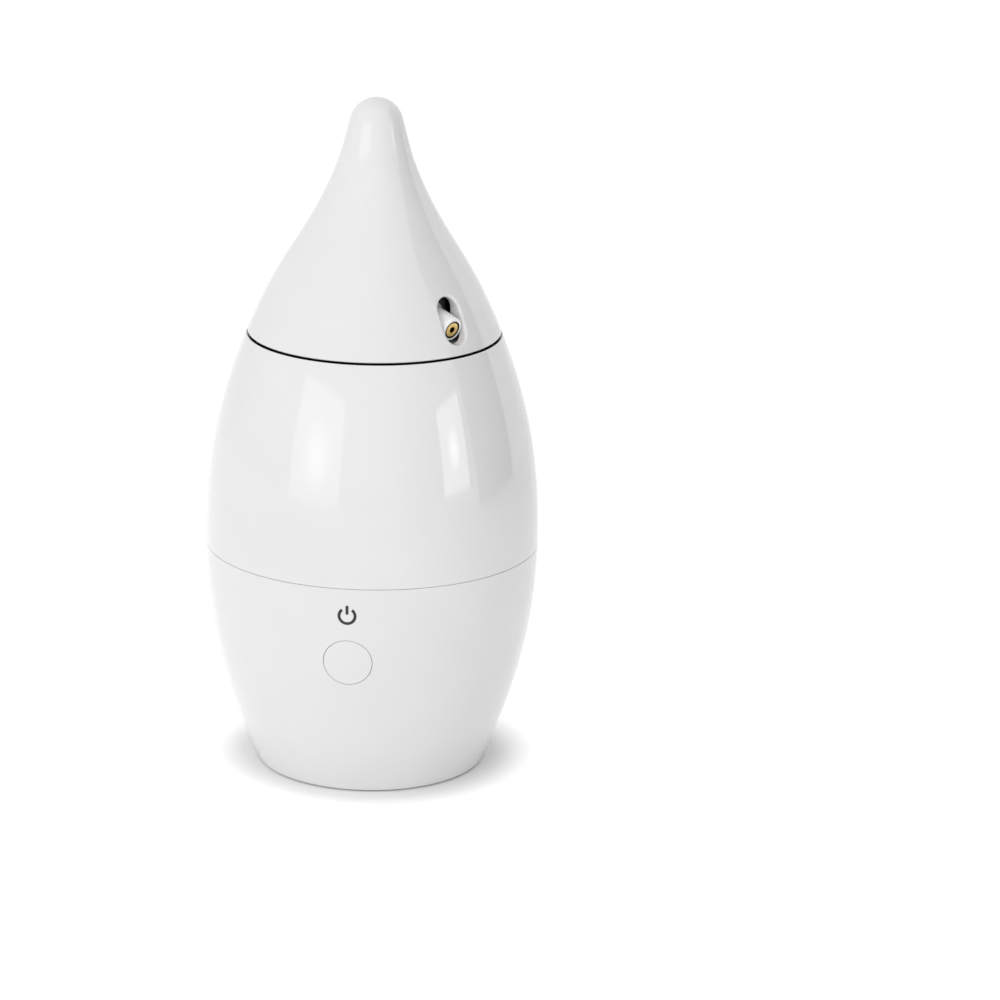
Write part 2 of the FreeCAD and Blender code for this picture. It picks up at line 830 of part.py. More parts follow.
def board_parts():
    """Electrolytic capacitors, a crystal and a row of chip resistors on the back of the board."""
    back = -board_depth - board_thickness
    parts = [cylinder(2.5, back - 6, back, -7.5, 5.5), cylinder(2.0, back - 5, back, -2.0, 6.0)]
    for i in range(4):
        x = 8.0 + (i % 2) * 3.0
        y = -5.5 + (i // 2) * 2.2
        parts.append(block((x, y, back - 0.6), (x + 2.0, y + 1.2, back)))
    return in_button_frame(Part.makeCompound(parts))


def board_plugs():
    """White crimp headers for the battery and motor leads."""
    back = -board_depth - board_thickness
    made = []
    for x in (4.0, 10.0):
        shell = block((x - 2.6, 3.0, back - 5.5), (x + 2.6, 7.5, back))
        made.append(shell.cut(block((x - 1.8, 3.8, back - 6), (x + 1.8, 6.7, back - 1.5))))
    return in_button_frame(Part.makeCompound(made))


# ================================================================ gears and motor


def involute(angle):
    return math.tan(angle) - angle


def gear(teeth, module, low, high, x, y, phase):
    """A spur gear whose first tooth is centred at phase degrees."""
    pitch = module * teeth / 2
    base = pitch * math.cos(math.radians(pressure_angle))
    tip, root = pitch + addendum * module, pitch - dedendum * module
    half = math.pi / (2 * teeth) - backlash / (4 * pitch) + involute(math.radians(pressure_angle))
    start = max(base, root)
    radii = [start + (tip - start) * i / 3 for i in range(4)]
    flank = [(r, half - involute(math.acos(min(1.0, base / r)))) for r in radii]
    if root < base:
        flank.insert(0, (root, flank[0][1]))
    points = []
    for tooth in range(teeth):
        centre = math.radians(phase) + 2 * math.pi * tooth / teeth
        for r, a in flank:
            points.append(V(x + r * math.cos(centre - a), y + r * math.sin(centre - a), low))
        for r, a in reversed(flank):
            points.append(V(x + r * math.cos(centre + a), y + r * math.sin(centre + a), low))
    return Part.Face(Part.makePolygon(points + points[:1])).extrude(V(0, 0, high - low))


def meshed_phase(driver_phase, driver_teeth, direction, teeth):
    """Phase of a gear that lies in direction from its mate: its tooth space takes the mate's tooth."""
    return direction + 180 + (180 - (driver_phase - direction) * driver_teeth) / teeth


def step_from(place, distance, direction):
    dx, dy = polar(distance, direction)
    return place[0] + dx, place[1] + dy


second_place = polar(module_head * (teeth_head + teeth_second_small) / 2, second_bearing)
first_place = step_from(second_place, module_middle * (teeth_second + teeth_first_small) / 2, first_bearing)
motor_place = step_from(first_place, module_motor * (teeth_first + teeth_pinion) / 2, motor_bearing)

head_phase = 0.0
second_small_phase = meshed_phase(head_phase, teeth_head, second_bearing, teeth_second_small)
second_phase = 0.0
first_small_phase = meshed_phase(second_phase, teeth_second, first_bearing, teeth_first_small)
first_phase = 0.0
pinion_phase = meshed_phase(first_phase, teeth_first, motor_bearing, teeth_pinion)

column_screw_places = [polar(column_flange_radius - 2.6, angle) for angle in (30, 150, 270)]


def second_gear():
    x, y = second_place
    big = gear(teeth_second, module_middle, level_second, level_second + gear_face, x, y, second_phase)
    low, high = level_second + gear_face - 0.1, bridge_height - end_play
    small = gear(teeth_second_small, module_head, low, high, x, y, second_small_phase)
    boss = cylinder(gear_boss_radius, deck_height + deck_thickness + end_play, level_second + 0.1, x, y)
    return fused([big, small, boss]).cut(cylinder(axle_radius + running, 0, 200, x, y))


def first_gear():
    x, y = first_place
    big = gear(teeth_first, module_motor, level_first, level_first + gear_face, x, y, first_phase)
    low, high = level_first + gear_face - 0.1, level_second + gear_face + pinion_overhang
    small = gear(teeth_first_small, module_middle, low, high, x, y, first_small_phase)
    boss = cylinder(gear_boss_radius, deck_height + deck_thickness + end_play, level_first + 0.1, x, y)
    neck = cylinder(gear_boss_radius, high - 0.1, bridge_height - end_play, x, y)
    return fused([big, small, boss, neck]).cut(cylinder(axle_radius + running, 0, 200, x, y))


def motor_pinion():
    x, y = motor_place
    low, high = level_first - pinion_overhang, level_first + gear_face + pinion_overhang
    pinion = gear(teeth_pinion, module_motor, low, high, x, y, pinion_phase)
    return pinion.cut(cylinder(axle_radius, 0, 200, x, y))


def motor_shaft():
    return cylinder(axle_radius, deck_height - motor_length + 2, level_first + gear_face + 1.2, *motor_place)


def motor_can():
    x, y = motor_place
    low = deck_height - motor_length
    can = cylinder(motor_radius, low, deck_height, x, y)
    can = can.makeFillet(1.2, [e for e in can.Edges if e.BoundBox.ZMin > deck_height - 0.01])
    boss = cylinder(motor_boss_radius, deck_height - 0.1, deck_height + motor_boss_height, x, y)
    can = can.fuse(boss).cut(cylinder(axle_radius + running, low + 1.8, deck_height + 5, x, y))
    for side in (-1, 1):
        pilot_x = x + side * motor_screw_place
        can = can.cut(cylinder(small_pilot, deck_height - 4, deck_height + 1, pilot_x, y))
    return can


def motor_end_bell():
    x, y = motor_place
    top = deck_height - motor_length
    bell = cylinder(motor_radius - 0.6, top - end_bell_height, top, x, y)
    boss_radius = motor_boss_radius + 0.2
    boss = cylinder(boss_radius, top - end_bell_height - end_bell_boss, top - end_bell_height, x, y)
    return bell.fuse(boss)


def motor_terminals():
    x, y = motor_place
    top = deck_height - motor_length - end_bell_height
    tags = []
    for side in (-1, 1):
        tag = block((-1, -0.25, top - terminal_length), (1, 0.25, top))
        tag.translate(V(x, y + side * motor_screw_place, 0))
        tags.append(tag)
    return Part.makeCompound(tags)


def drive_deck():
    top = deck_height + deck_thickness
    deck = cylinder(deck_radius, deck_height, top)
    x, y = motor_place
    deck = deck.cut(cylinder(motor_boss_radius + running, 0, top + 1, x, y))
    for side in (-1, 1):
        deck = deck.cut(cylinder(small_hole, 0, top + 1, x + side * motor_screw_place, y))
    for angle in post_angles:
        deck = deck.cut(cylinder(screw_radius + fit, 0, top + 1, *polar(post_circle, angle)))
    for place in bridge_posts:
        deck = deck.fuse(cylinder(bridge_post_radius, top - 0.1, bridge_height, *place))
        deck = deck.cut(cylinder(small_pilot, bridge_height - 6, bridge_height + 1, *place))
    for place in (first_place, second_place):
        deck = deck.cut(cylinder(axle_radius, 0, top + 1, *place))
    for place in column_screw_places:
        deck = deck.cut(cylinder(small_pilot, 0, top + 1, *place))
    # a window for the leads that go up to the brushes
    return deck.cut(block((20, -16, 0), (28, -8, top + 1)))


def gear_bridge():
    low, high = bridge_height, bridge_height + bridge_thickness
    stops = [bridge_posts[0], second_place, first_place, bridge_posts[1]]
    arms = []
    for (x0, y0), (x1, y1) in zip(stops, stops[1:]):
        arm = block((0, -bridge_post_radius, low), (math.hypot(x1 - x0, y1 - y0), bridge_post_radius, high))
        arm.rotate(V(0, 0, 0), UP, math.degrees(math.atan2(y1 - y0, x1 - x0)))
        arm.translate(V(x0, y0, 0))
        arms.append(arm)
    bridge = fused(arms + [cylinder(bridge_post_radius + bridge_pad, low, high, *place) for place in stops])
    for place in (first_place, second_place):
        bridge = bridge.cut(cylinder(axle_radius, low - 1, high + 1, *place))
    for place in bridge_posts:
        bridge = bridge.cut(cylinder(small_hole, low - 1, high + 1, *place))
    return bridge


def gear_axles():
    top = bridge_height + bridge_thickness
    places = (first_place, second_place)
    return Part.makeCompound([cylinder(axle_radius, deck_height, top, *place) for place in places])


def bulkhead():
    top = bulkhead_height + deck_thickness
    plate = cylinder(radius_at(bulkhead_height, wall) - lip_thickness - 2 * fit - 0.2, bulkhead_height, top)
    for angle in tie_angles:
        boss = cylinder(tie_post_radius, top - 0.1, top + 6, *polar(tie_circle, angle))
        plate = plate.fuse(boss).cut(cylinder(tie_screw_radius - 0.15, 0, top + 5, *polar(tie_circle, angle)))
    for angle in bulkhead_screw_angles:
        plate = plate.cut(cylinder(screw_radius + fit, 0, top + 1, *polar(bulkhead_screw_circle, angle)))
    # holes for the leads
    return plate.cut(block((-6, -34, 0), (6, -26, top + 1)))


# ================================================================ column, crown and turntable


def tail_tip(drop):
    """Radius and height of the tip of a tail's foot when its barrel points down by drop degrees."""
    angle = math.radians(drop)
    inward = tail_reach * math.cos(angle) + tail_foot * math.sin(angle)
    upward = tail_reach * math.sin(angle) - tail_foot * math.cos(angle)
    return pivot_radius - inward, pivot_height + upward


crest_height = tail_tip(barrel_drop)[1] - crown_clearance
valley_height = tail_tip(barrel_drop - barrel_nod)[1] - crown_clearance
crown_bottom = valley_height - crown_base


def column():
    """It stands on the drive deck and comes up through the hub. A square peg holds the crown still."""
    low = deck_height + deck_thickness
    half = peg_width / 2
    post = cylinder(column_radius, low, crown_bottom)
    flange = cylinder(column_flange_radius, low, low + column_flange_height)
    peg = block((-half, -half, crown_bottom - 0.1), (half, half, crown_bottom + peg_height))
    shape = fused([post, flange, peg])
    for place in column_screw_places:
        shape = shape.cut(cylinder(small_hole, 0, low + 10, *place))
    return shape.cut(cylinder(small_pilot, crown_bottom - screw_bite, crown_bottom + 5))


def small_screws():
    """One size of small screw holds the column, the motor, the bridge, the brush block and the crown."""
    deck_top = deck_height + deck_thickness
    x, y = motor_place
    places = [(*place, deck_top + column_flange_height) for place in column_screw_places]
    places += [(x + side * motor_screw_place, y, deck_top) for side in (-1, 1)]
    places += [(*place, bridge_height + bridge_thickness) for place in bridge_posts]
    brush_place = polar(brush_screw_place, brush_angle)
    places.append((*brush_place, top_deck_height + deck_thickness + brush_foot))
    places.append((0, 0, valley_height - small_head_height))
    return Part.makeCompound([small_screw(*place) for place in places])


def crown_cam():
    """A fixed disc with a rounded valley across it. Each laser's tail dips into the valley twice a turn."""
    crown = cylinder(crown_radius, crown_bottom, crest_height)
    axis_height = valley_height + crown_groove_radius
    start = V(-2 * crown_radius, 0, axis_height)
    valley = Part.makeCylinder(crown_groove_radius, 4 * crown_radius, start, V(1, 0, 0))
    valley.rotate(V(0, 0, 0), UP, bearings()[0])
    half = peg_width / 2 + 0.05
    crown = crown.cut(valley)
    crown = crown.cut(block((-half, -half, crown_bottom - 1), (half, half, crown_bottom + peg_height + 0.05)))
    crown = crown.cut(cylinder(small_hole, 0, 200))
    return crown.cut(cylinder(small_head_radius + fit, valley_height - small_head_height, 200))


seat_height = collar_top + washer_thickness + 0.1
clip_bottom = level_head - 0.1 - clip_thickness + 0.02


def thrust_washer():
    return ring(hub_radius + 0.2, washer_radius, collar_top, collar_top + washer_thickness)


def turntable():
    top = turntable_bottom + turntable_thickness
    hub_bottom = level_head - clip_thickness - 0.1 - hub_tail
    shoulder = collar_bottom - gear_seat
    table = turned(
        [
            (hub_bore_radius, hub_bottom),
            (hub_seat_radius, hub_bottom),
            (hub_seat_radius, shoulder),
            (hub_radius, shoulder),
            (hub_radius, seat_height),
            (washer_radius, seat_height),
            (washer_radius, turntable_bottom),
            (radius_at(turntable_bottom, wall) - turntable_clearance, turntable_bottom),
            (radius_at(top, wall) - turntable_clearance, top),
            (hub_bore_radius, top),
        ]
    )
    table = table.cut(block((hub_flat, -10, hub_bottom - 1), (10, 10, shoulder)))
    groove = ring(hub_seat_radius - clip_groove, hub_seat_radius + 1, clip_bottom - 0.02, level_head - 0.1)
    table = table.cut(groove)
    for bearing in cap_screw_bearings:
        x, y = polar(cap_screw_circle, bearings()[0] + bearing)
        table = table.cut(cylinder(screw_radius + fit, 0, 200, x, y))
    for bearing in bearings():
        for place in cradle_screw_places:
            pilot = cylinder(small_pilot, turntable_bottom + 0.1, 200, *place)
            table = table.cut(placed(pilot, level_frame(bearing)))
        x, y = polar(pivot_radius + nose_spring_reach, bearing)
        pocket = nose_spring_radius + nose_spring_wire + 2 * fit
        table = table.cut(cylinder(pocket, top - nose_spring_pocket, top + 1, x, y))
        # a window for the leads from the slip rings up to the lasers
        window = block((slip_inner + 0.3, -3, 0), (slip_inner + 3.3, 3, 200))
        window.rotate(V(0, 0, 0), UP, bearing + 90)
        table = table.cut(window)
    return table


def turntable_gear():
    wheel = gear(teeth_head, module_head, level_head, level_head + gear_face_head, 0, 0, head_phase)
    bore = cylinder(hub_seat_radius + 0.02, 0, 200).cut(block((hub_flat + 0.02, -10, -1), (10, 10, 201)))
    wheel = wheel.cut(bore)
    for i in range(6):
        wheel = wheel.cut(cylinder(2.8, 0, 200, *polar(14.0, 60 * i + 30)))
    return wheel


def hub_clip():
    top = clip_bottom + clip_thickness - 0.04
    clip = ring(hub_seat_radius - clip_groove + 0.05, hub_seat_radius + clip_reach, clip_bottom, top)
    return clip.cut(block((0, -3.6, 0), (20, 3.6, 200)))


def slip_ring_board():
    return ring(slip_inner, slip_outer, turntable_bottom - slip_board_thickness, turntable_bottom)


def slip_ring_tracks():
    top = turntable_bottom - slip_board_thickness
    half = track_width / 2
    return Part.makeCompound([ring(r - half, r + half, top - track_thickness, top) for r in track_radii])


def cap_screws():
    angles = [bearings()[0] + bearing for bearing in cap_screw_bearings]
    length = turntable_thickness + screw_bite - 1.5
    return screws_at(cap_screw_circle, angles, turntable_bottom - 0.01, length)


brush_top = turntable_bottom - slip_board_thickness - track_thickness - brush_seat


def brush_block():
    """A plastic block that carries the brushes, with a low foot for its screw."""
    low = top_deck_height + deck_thickness
    inner, outer = track_radii[0] - 2, track_radii[1] + 1.4
    half = brush_block_width / 2
    body = block((inner, -half, low), (outer, half, low + brush_block_height))
    end = brush_screw_place + small_head_radius
    foot = block((outer - 0.1, -half, low), (end, half, low + brush_foot))
    hole = cylinder(small_hole, low - 1, low + 5, brush_screw_place, 0)
    body = body.fuse(foot).cut(hole)
    body.rotate(V(0, 0, 0), UP, brush_angle)
    return body


def brushes():
    """Two springy bronze wipers that stand on the block and lean against the tracks."""
    low = top_deck_height + deck_thickness + brush_block_height
    high = brush_top - brush_thickness
    profile = [(0, low), (1.2, low), (brush_reach, high), (brush_reach + 1.2, high)]
    made = []
    for r in track_radii:
        lower = [V(r, y, z) for y, z in profile]
        upper = [p + V(0, 0, brush_thickness) for p in reversed(lower)]
        strip = Part.Face(Part.makePolygon(lower + upper + lower[:1])).extrude(V(brush_width, 0, 0))
        strip.translate(V(-brush_width / 2, 0, 0))
        strip.rotate(V(0, 0, 0), UP, brush_angle)
        made.append(strip)
    return Part.makeCompound(made)


# ================================================================ lasers


def laser_frame(bearing):
    """Its origin is on the pivot, local X points along the barrel to the nose, local Y along the pins."""
    x, y = polar(pivot_radius, bearing)
    turn = FreeCAD.Rotation(UP, bearing).multiply(FreeCAD.Rotation(V(0, 1, 0), barrel_drop))
    return FreeCAD.Placement(V(x, y, pivot_height), turn)


def level_frame(bearing):
    x, y = polar(pivot_radius, bearing)
    return FreeCAD.Placement(V(x, y, 0), FreeCAD.Rotation(UP, bearing))


def placed(shape, frame):
    made = shape.copy()
    made.Placement = frame.multiply(made.Placement)
    return made


def along(radius, start, end):
    """A cylinder on the barrel's axis, between two distances behind the nose face."""
    return Part.makeCylinder(radius, end - start, V(nose_reach - start, 0, 0), V(-1, 0, 0))


def laser_barrel(bearing):
    """A white tube with a narrower nose. Its tail arm ends in a rounded foot that rides on the crown."""
    nose = along(nose_radius, 0, nose_length + 0.1)
    nose = nose.makeFillet(nose_edge, [e for e in nose.Edges if e.BoundBox.XMin > nose_reach - 1e-4])
    body = along(barrel_radius, nose_length, barrel_length)
    half = tail_thickness / 2
    end = -tail_reach - tail_foot_radius
    arm = block((end, -tail_width / 2, -half), (nose_reach - barrel_length + 0.5, tail_width / 2, half))
    foot_rod = cylinder(tail_foot_radius, -tail_foot + tail_foot_radius, 0, -tail_reach, 0)
    tip = Part.makeSphere(tail_foot_radius, V(-tail_reach, 0, -tail_foot + tail_foot_radius))
    barrel = fused([nose, body, arm, foot_rod, tip])
    barrel = barrel.cut(along(barrel_bore, -1, barrel_length - 1.4))
    pins = Part.makeCylinder(pin_radius + running, 4 * barrel_radius, V(0, -2 * barrel_radius, 0), V(0, 1, 0))
    return placed(barrel.cut(pins), laser_frame(bearing))


def laser_module(bearing):
    """A turned brass tube with the exit hole in its face."""
    end = module_inset + module_length
    shape = along(module_radius, module_inset, end)
    shape = shape.cut(along(aperture_radius, 0, module_inset + 2))
    shape = shape.cut(along(lens_radius, module_inset + 1.2, end + 1))
    return placed(shape, laser_frame(bearing))


def laser_sleeve(bearing):
    """A black sleeve that holds the module tight in the barrel's bore."""
    end = sleeve_inset + sleeve_length
    sleeve = along(sleeve_radius, sleeve_inset, end).cut(along(module_radius + 0.02, 0, end + 1))
    return placed(sleeve, laser_frame(bearing))


def laser_lens(bearing):
    start = module_inset + 1.25
    lens = along(lens_radius - 0.02, start, start + lens_thickness)
    return placed(lens, laser_frame(bearing))


def laser_diode(bearing):
    """The diode's can in the back of the module, with its driver board behind."""
    end = module_inset + module_length
    can = along(lens_radius - 0.05, end - 3.2, end + 0.3)
    board = block((nose_reach - end - 3.9, -1.9, -0.5), (nose_reach - end - 0.2, 1.9, 0.5))
    return placed(can.fuse(board), laser_frame(bearing))


def tilt_pins():
    inner, outer = barrel_bore + 0.3, barrel_radius + ear_gap + ear_thickness
    pins = []
    for bearing in bearings():
        for side in (-1, 1):
            start = V(0, side * inner, pivot_height)
            pin = Part.makeCylinder(pin_radius, outer - inner, start, V(0, side, 0))
            pins.append(placed(pin, level_frame(bearing)))
    return Part.makeCompound(pins)


def laser_cradles():
    """Two U-shaped brackets on the turntable: each is a sole with two ears that hold a laser's pins."""
    low = turntable_bottom + turntable_thickness
    inner = barrel_radius + ear_gap
    outer = inner + ear_thickness
    sole = block((-cradle_length / 2, -outer, low), (cradle_length / 2, outer, low + cradle_thickness))
    ears = []
    for side in (inner, -outer):
        ears.append(block((-ear_width / 2, side, low), (ear_width / 2, side + ear_thickness, pivot_height)))
        ears.append(Part.makeCylinder(ear_width / 2, ear_thickness, V(0, side, pivot_height), V(0, 1, 0)))
    cradle = fused([sole] + ears)
    cradle = cradle.cut(Part.makeCylinder(pin_radius, 4 * outer, V(0, -2 * outer, pivot_height), V(0, 1, 0)))
    for place in cradle_screw_places:
        cradle = cradle.cut(cylinder(small_hole, low - 1, low + 5, *place))
    return Part.makeCompound([placed(cradle, level_frame(bearing)) for bearing in bearings()])


def cradle_screws():
    seat = turntable_bottom + turntable_thickness + cradle_thickness
    made = []
    for x, y in cradle_screw_places:
        one = screw(small_screw_radius, small_head_radius, small_head_height, cradle_thickness + 1.6)
        one.rotate(V(0, 0, 0), V(1, 0, 0), 180)
        one.translate(V(x, y, seat + 0.01))
        made.append(one)
    pair = Part.makeCompound(made)
    return Part.makeCompound([placed(pair, level_frame(bearing)) for bearing in bearings()])


def nose_springs():
    """A spring in a pocket of the turntable lifts each nose, so that the tail stays down on the crown."""
    low = turntable_bottom + turntable_thickness - nose_spring_pocket + 0.02
    spring = coil(nose_spring_radius, nose_spring_wire, low, low + nose_spring_height, nose_spring_turns)
    spring.translate(V(nose_spring_reach, 0, 0))
    return Part.makeCompound([placed(spring, level_frame(bearing)) for bearing in bearings()])


# ================================================================ the nodes


def casing_nodes():
    lower = lower_shell()
    lower = lower.makeFillet(floor_edge_fillet, outer_edges(lower, foot_reveal))
    lower = lower.makeChamfer(seam_chamfer, outer_edges(lower, seam_height - seam_gap / 2))
    middle = middle_shell()
    middle = middle.makeFillet(rim_fillet, outer_edges(middle, cap_height - cap_gap))
    middle = middle.makeChamfer(seam_chamfer, outer_edges(middle, seam_height + seam_gap / 2))
    return {
        "lower_shell": lower,
        "middle_shell": middle,
        "cap_shell": cap_shell(),
        "base_plate": base_plate(),
        "rubber_feet": Part.makeCompound([foot(angle) for angle in foot_angles]),
        "case_screws": case_screws(),
        "tie_screws": tie_screws(),
        "bulkhead": bulkhead(),
    }


def battery_nodes():
    made = {
        "battery_door": battery_door(),
        "battery_door_screws": door_screws(),
        "door_contacts": door_contacts(),
        "battery_bay": battery_bay(),
        "bay_contacts": bay_contacts(),
    }
    for number, (angle, over) in enumerate(zip(cell_angles, cell_turned_over), 1):
        made[f"battery_cell_{number}"] = battery_cell(angle, over)
    return made


def board_nodes():
    return {
        "button_cap": button_cap(),
        "switch_plunger": switch_plunger(),
        "switch_body": switch_body(),
        "control_board": control_board(),
        "board_screws": board_screws(),
        "control_chip": control_chip(),
        "board_parts": board_parts(),
        "board_plugs": board_plugs(),
    }


def drive_nodes():
    return {
        "drive_deck": drive_deck(),
        "small_screws": small_screws(),
        "motor_can": motor_can(),
        "motor_end_bell": motor_end_bell(),
        "motor_terminals": motor_terminals(),
        "motor_shaft": motor_shaft(),
        "motor_pinion": motor_pinion(),
        "first_gear": first_gear(),
        "second_gear": second_gear(),
        "gear_axles": gear_axles(),
        "gear_bridge": gear_bridge(),
        "column": column(),
        "crown_cam": crown_cam(),
        "thrust_washer": thrust_washer(),
        "brush_block": brush_block(),
        "brushes": brushes(),
    }


def cap_nodes():
    made = {
        "turntable": turntable(),
        "turntable_gear": turntable_gear(),
        "hub_clip": hub_clip(),
        "slip_ring_board": slip_ring_board(),
        "slip_ring_tracks": slip_ring_tracks(),
        "cap_screws": cap_screws(),
        "laser_cradles": laser_cradles(),
        "cradle_screws": cradle_screws(),
        "tilt_pins": tilt_pins(),
        "nose_springs": nose_springs(),
    }
    for number, bearing in enumerate(bearings(), 1):
        made[f"laser_barrel_{number}"] = laser_barrel(bearing)
        made[f"laser_module_{number}"] = laser_module(bearing)
        made[f"laser_sleeve_{number}"] = laser_sleeve(bearing)
        made[f"laser_lens_{number}"] = laser_lens(bearing)
        made[f"laser_diode_{number}"] = laser_diode(bearing)
    return made


os.makedirs("parts", exist_ok=True)
for group in (casing_nodes(), battery_nodes(), board_nodes(), drive_nodes(), cap_nodes()):
    for name, shape in group.items():
        shape.exportStep(f"parts/{name}.step")
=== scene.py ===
import json
import math

import bmesh
import bpy
from mathutils import Euler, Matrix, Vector


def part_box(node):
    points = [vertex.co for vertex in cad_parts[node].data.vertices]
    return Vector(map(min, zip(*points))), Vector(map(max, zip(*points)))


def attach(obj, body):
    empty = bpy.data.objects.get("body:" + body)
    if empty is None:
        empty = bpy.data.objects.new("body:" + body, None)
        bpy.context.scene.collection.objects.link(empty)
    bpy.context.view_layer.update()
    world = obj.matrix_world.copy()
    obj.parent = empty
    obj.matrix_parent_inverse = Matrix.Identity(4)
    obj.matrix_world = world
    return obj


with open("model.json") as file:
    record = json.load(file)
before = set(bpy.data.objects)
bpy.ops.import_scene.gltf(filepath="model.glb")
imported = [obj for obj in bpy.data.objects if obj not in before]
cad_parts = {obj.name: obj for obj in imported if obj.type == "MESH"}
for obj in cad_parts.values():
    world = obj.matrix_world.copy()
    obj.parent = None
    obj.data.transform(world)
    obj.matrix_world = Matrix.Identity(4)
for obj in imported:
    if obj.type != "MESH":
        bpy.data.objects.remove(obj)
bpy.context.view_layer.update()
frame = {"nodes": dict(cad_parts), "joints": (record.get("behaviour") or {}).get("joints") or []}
nodes = frame["nodes"]

# ---------------------------------------------------------------- camera
# A long lens 1.15 m from the toy. It looks down on it by 16 degrees, from a little to the right of its button, and is
# tipped by about a degree.

camera_place = (0.159458, -1.093047, 0.414876)
camera_turn = (72.929215, -1.067388, 6.777712)
camera_lens = 148.228

bpy.ops.object.select_all(action="DESELECT")
bpy.ops.object.camera_add(location=camera_place, rotation=[math.radians(angle) for angle in camera_turn])
camera = bpy.context.object
camera.name = "camera"
camera.data.lens = camera_lens
camera.data.sensor_width = 36.0
camera.data.clip_end = 20.0
bpy.context.scene.camera = camera
bpy.context.scene.view_settings.view_transform = "Standard"

# ---------------------------------------------------------------- studio
# A white paper sweep in an even white room. Two soft boxes beside the camera show as windows in the gloss, each with
# a brighter middle where its tube is. Silks above, at the left and low in front fill the shadows without showing in
# the gloss, and a black flag keeps the right side darker.


def linear(hex_colour):
    """An sRGB hex colour as the linear RGBA that a shader socket takes."""
    channels = [int(hex_colour[i : i + 2], 16) / 255 for i in (1, 3, 5)]
    return [c / 12.92 if c <= 0.04045 else ((c + 0.055) / 1.055) ** 2.4 for c in channels] + [1.0]


def add_node(tree, kind, links=None, **settings):
    """Adds a shader node. links gives its input sockets a value or another node's output."""
    made = tree.nodes.new(kind)
    for name, value in settings.items():
        setattr(made, name, value)
    for socket, value in (links or {}).items():
        if isinstance(value, bpy.types.NodeSocket):
            tree.links.new(value, made.inputs[socket])
        else:
            made.inputs[socket].default_value = value
    return made


def white_to_the_eye(tree):
    """1 for rays that see the white background, from the camera, in gloss and through glass, else 0."""
    path = add_node(tree, "ShaderNodeLightPath").outputs
    seen = path["Is Camera Ray"]
    for kind in ("Is Glossy Ray", "Is Transmission Ray"):
        seen = add_node(tree, "ShaderNodeMath", {0: seen, 1: path[kind]}, operation="MAXIMUM").outputs[0]
    return seen


paper_white = "#FAFAFA"
pure_white = "#FFFFFF"
paper_glow = 0.42  # added for the camera, so that the lit paper is pure white and its shadows stay grey
far_glow = 0.3  # the same, where the lamps fall off
near_edge, far_edge = 0.12, 0.5  # from the toy's axis: the glow goes from the one to the other between them
contact_reach = 0.017  # contact_reach = 0.017 # how far the painted contact shadow round the toy's foot reaches
foot_shade, open_shade = 0.5, 0.95  # of the sky seen by the paper, where the glow ends and where it is whole
floor_size = 6.0
room_strength = 0.68

bpy.ops.mesh.primitive_plane_add(size=floor_size, location=(0, 0, 0))
floor = bpy.context.object
floor.name = "paper_floor"
paper = bpy.data.materials.new("white_background_paper")
paper.use_nodes = True
tree = paper.node_tree
tree.nodes.clear()
matt = add_node(tree, "ShaderNodeBsdfDiffuse", {"Color": linear(paper_white)})
# painted shade: the glow fades with ambient occlusion, which paints a contact shadow round the toy's foot on top of
# its real shadow
open_sky = add_node(tree, "ShaderNodeAmbientOcclusion", {"Distance": contact_reach}, samples=16)
deepened = add_node(tree, "ShaderNodeMapRange",
                    {"Value": open_sky.outputs["AO"], "From Min": foot_shade, "From Max": open_shade})
place = add_node(tree, "ShaderNodeTexCoord").outputs["Object"]
away = add_node(tree, "ShaderNodeVectorMath", {0: place}, operation="LENGTH")
level = add_node(tree, "ShaderNodeMapRange",
                 {"Value": away.outputs["Value"], "From Min": near_edge, "From Max": far_edge,
                  "To Min": paper_glow, "To Max": far_glow})
seen = add_node(tree, "ShaderNodeMath", {0: white_to_the_eye(tree), 1: level.outputs[0]}, operation="MULTIPLY")
shaded = add_node(tree, "ShaderNodeMath", {0: seen.outputs[0], 1: deepened.outputs[0]}, operation="MULTIPLY")
glow = add_node(tree, "ShaderNodeEmission", {"Color": linear(pure_white), "Strength": shaded.outputs[0]})
both = add_node(tree, "ShaderNodeAddShader", {0: matt.outputs[0], 1: glow.outputs[0]})
add_node(tree, "ShaderNodeOutputMaterial", {"Surface": both.outputs[0]})
floor.data.materials.append(paper)

world = bpy.data.worlds.new("white_room")
bpy.context.scene.world = world
world.use_nodes = True
tree = world.node_tree
background = tree.nodes["Background"]
strength = add_node(tree, "ShaderNodeMix", {"Factor": white_to_the_eye(tree), "A": room_strength, "B": 1.0})
background.inputs["Color"].default_value = linear(pure_white)
tree.links.new(strength.outputs["Result"], background.inputs["Strength"])

aim = Vector((0, 0, 0.1))  # the toy's middle, which the lamps face


def stand_off(round_from_x, rise, distance):
    """A place at this distance from the toy, and the turn that faces the toy from there. Angles in degrees."""
    turn, lift = math.radians(round_from_x), math.radians(rise)
    way = Vector((math.cos(turn) * math.cos(lift), math.sin(turn) * math.cos(lift), math.sin(lift)))
    return aim + way * distance, way.to_track_quat("Z", "Y").to_euler()


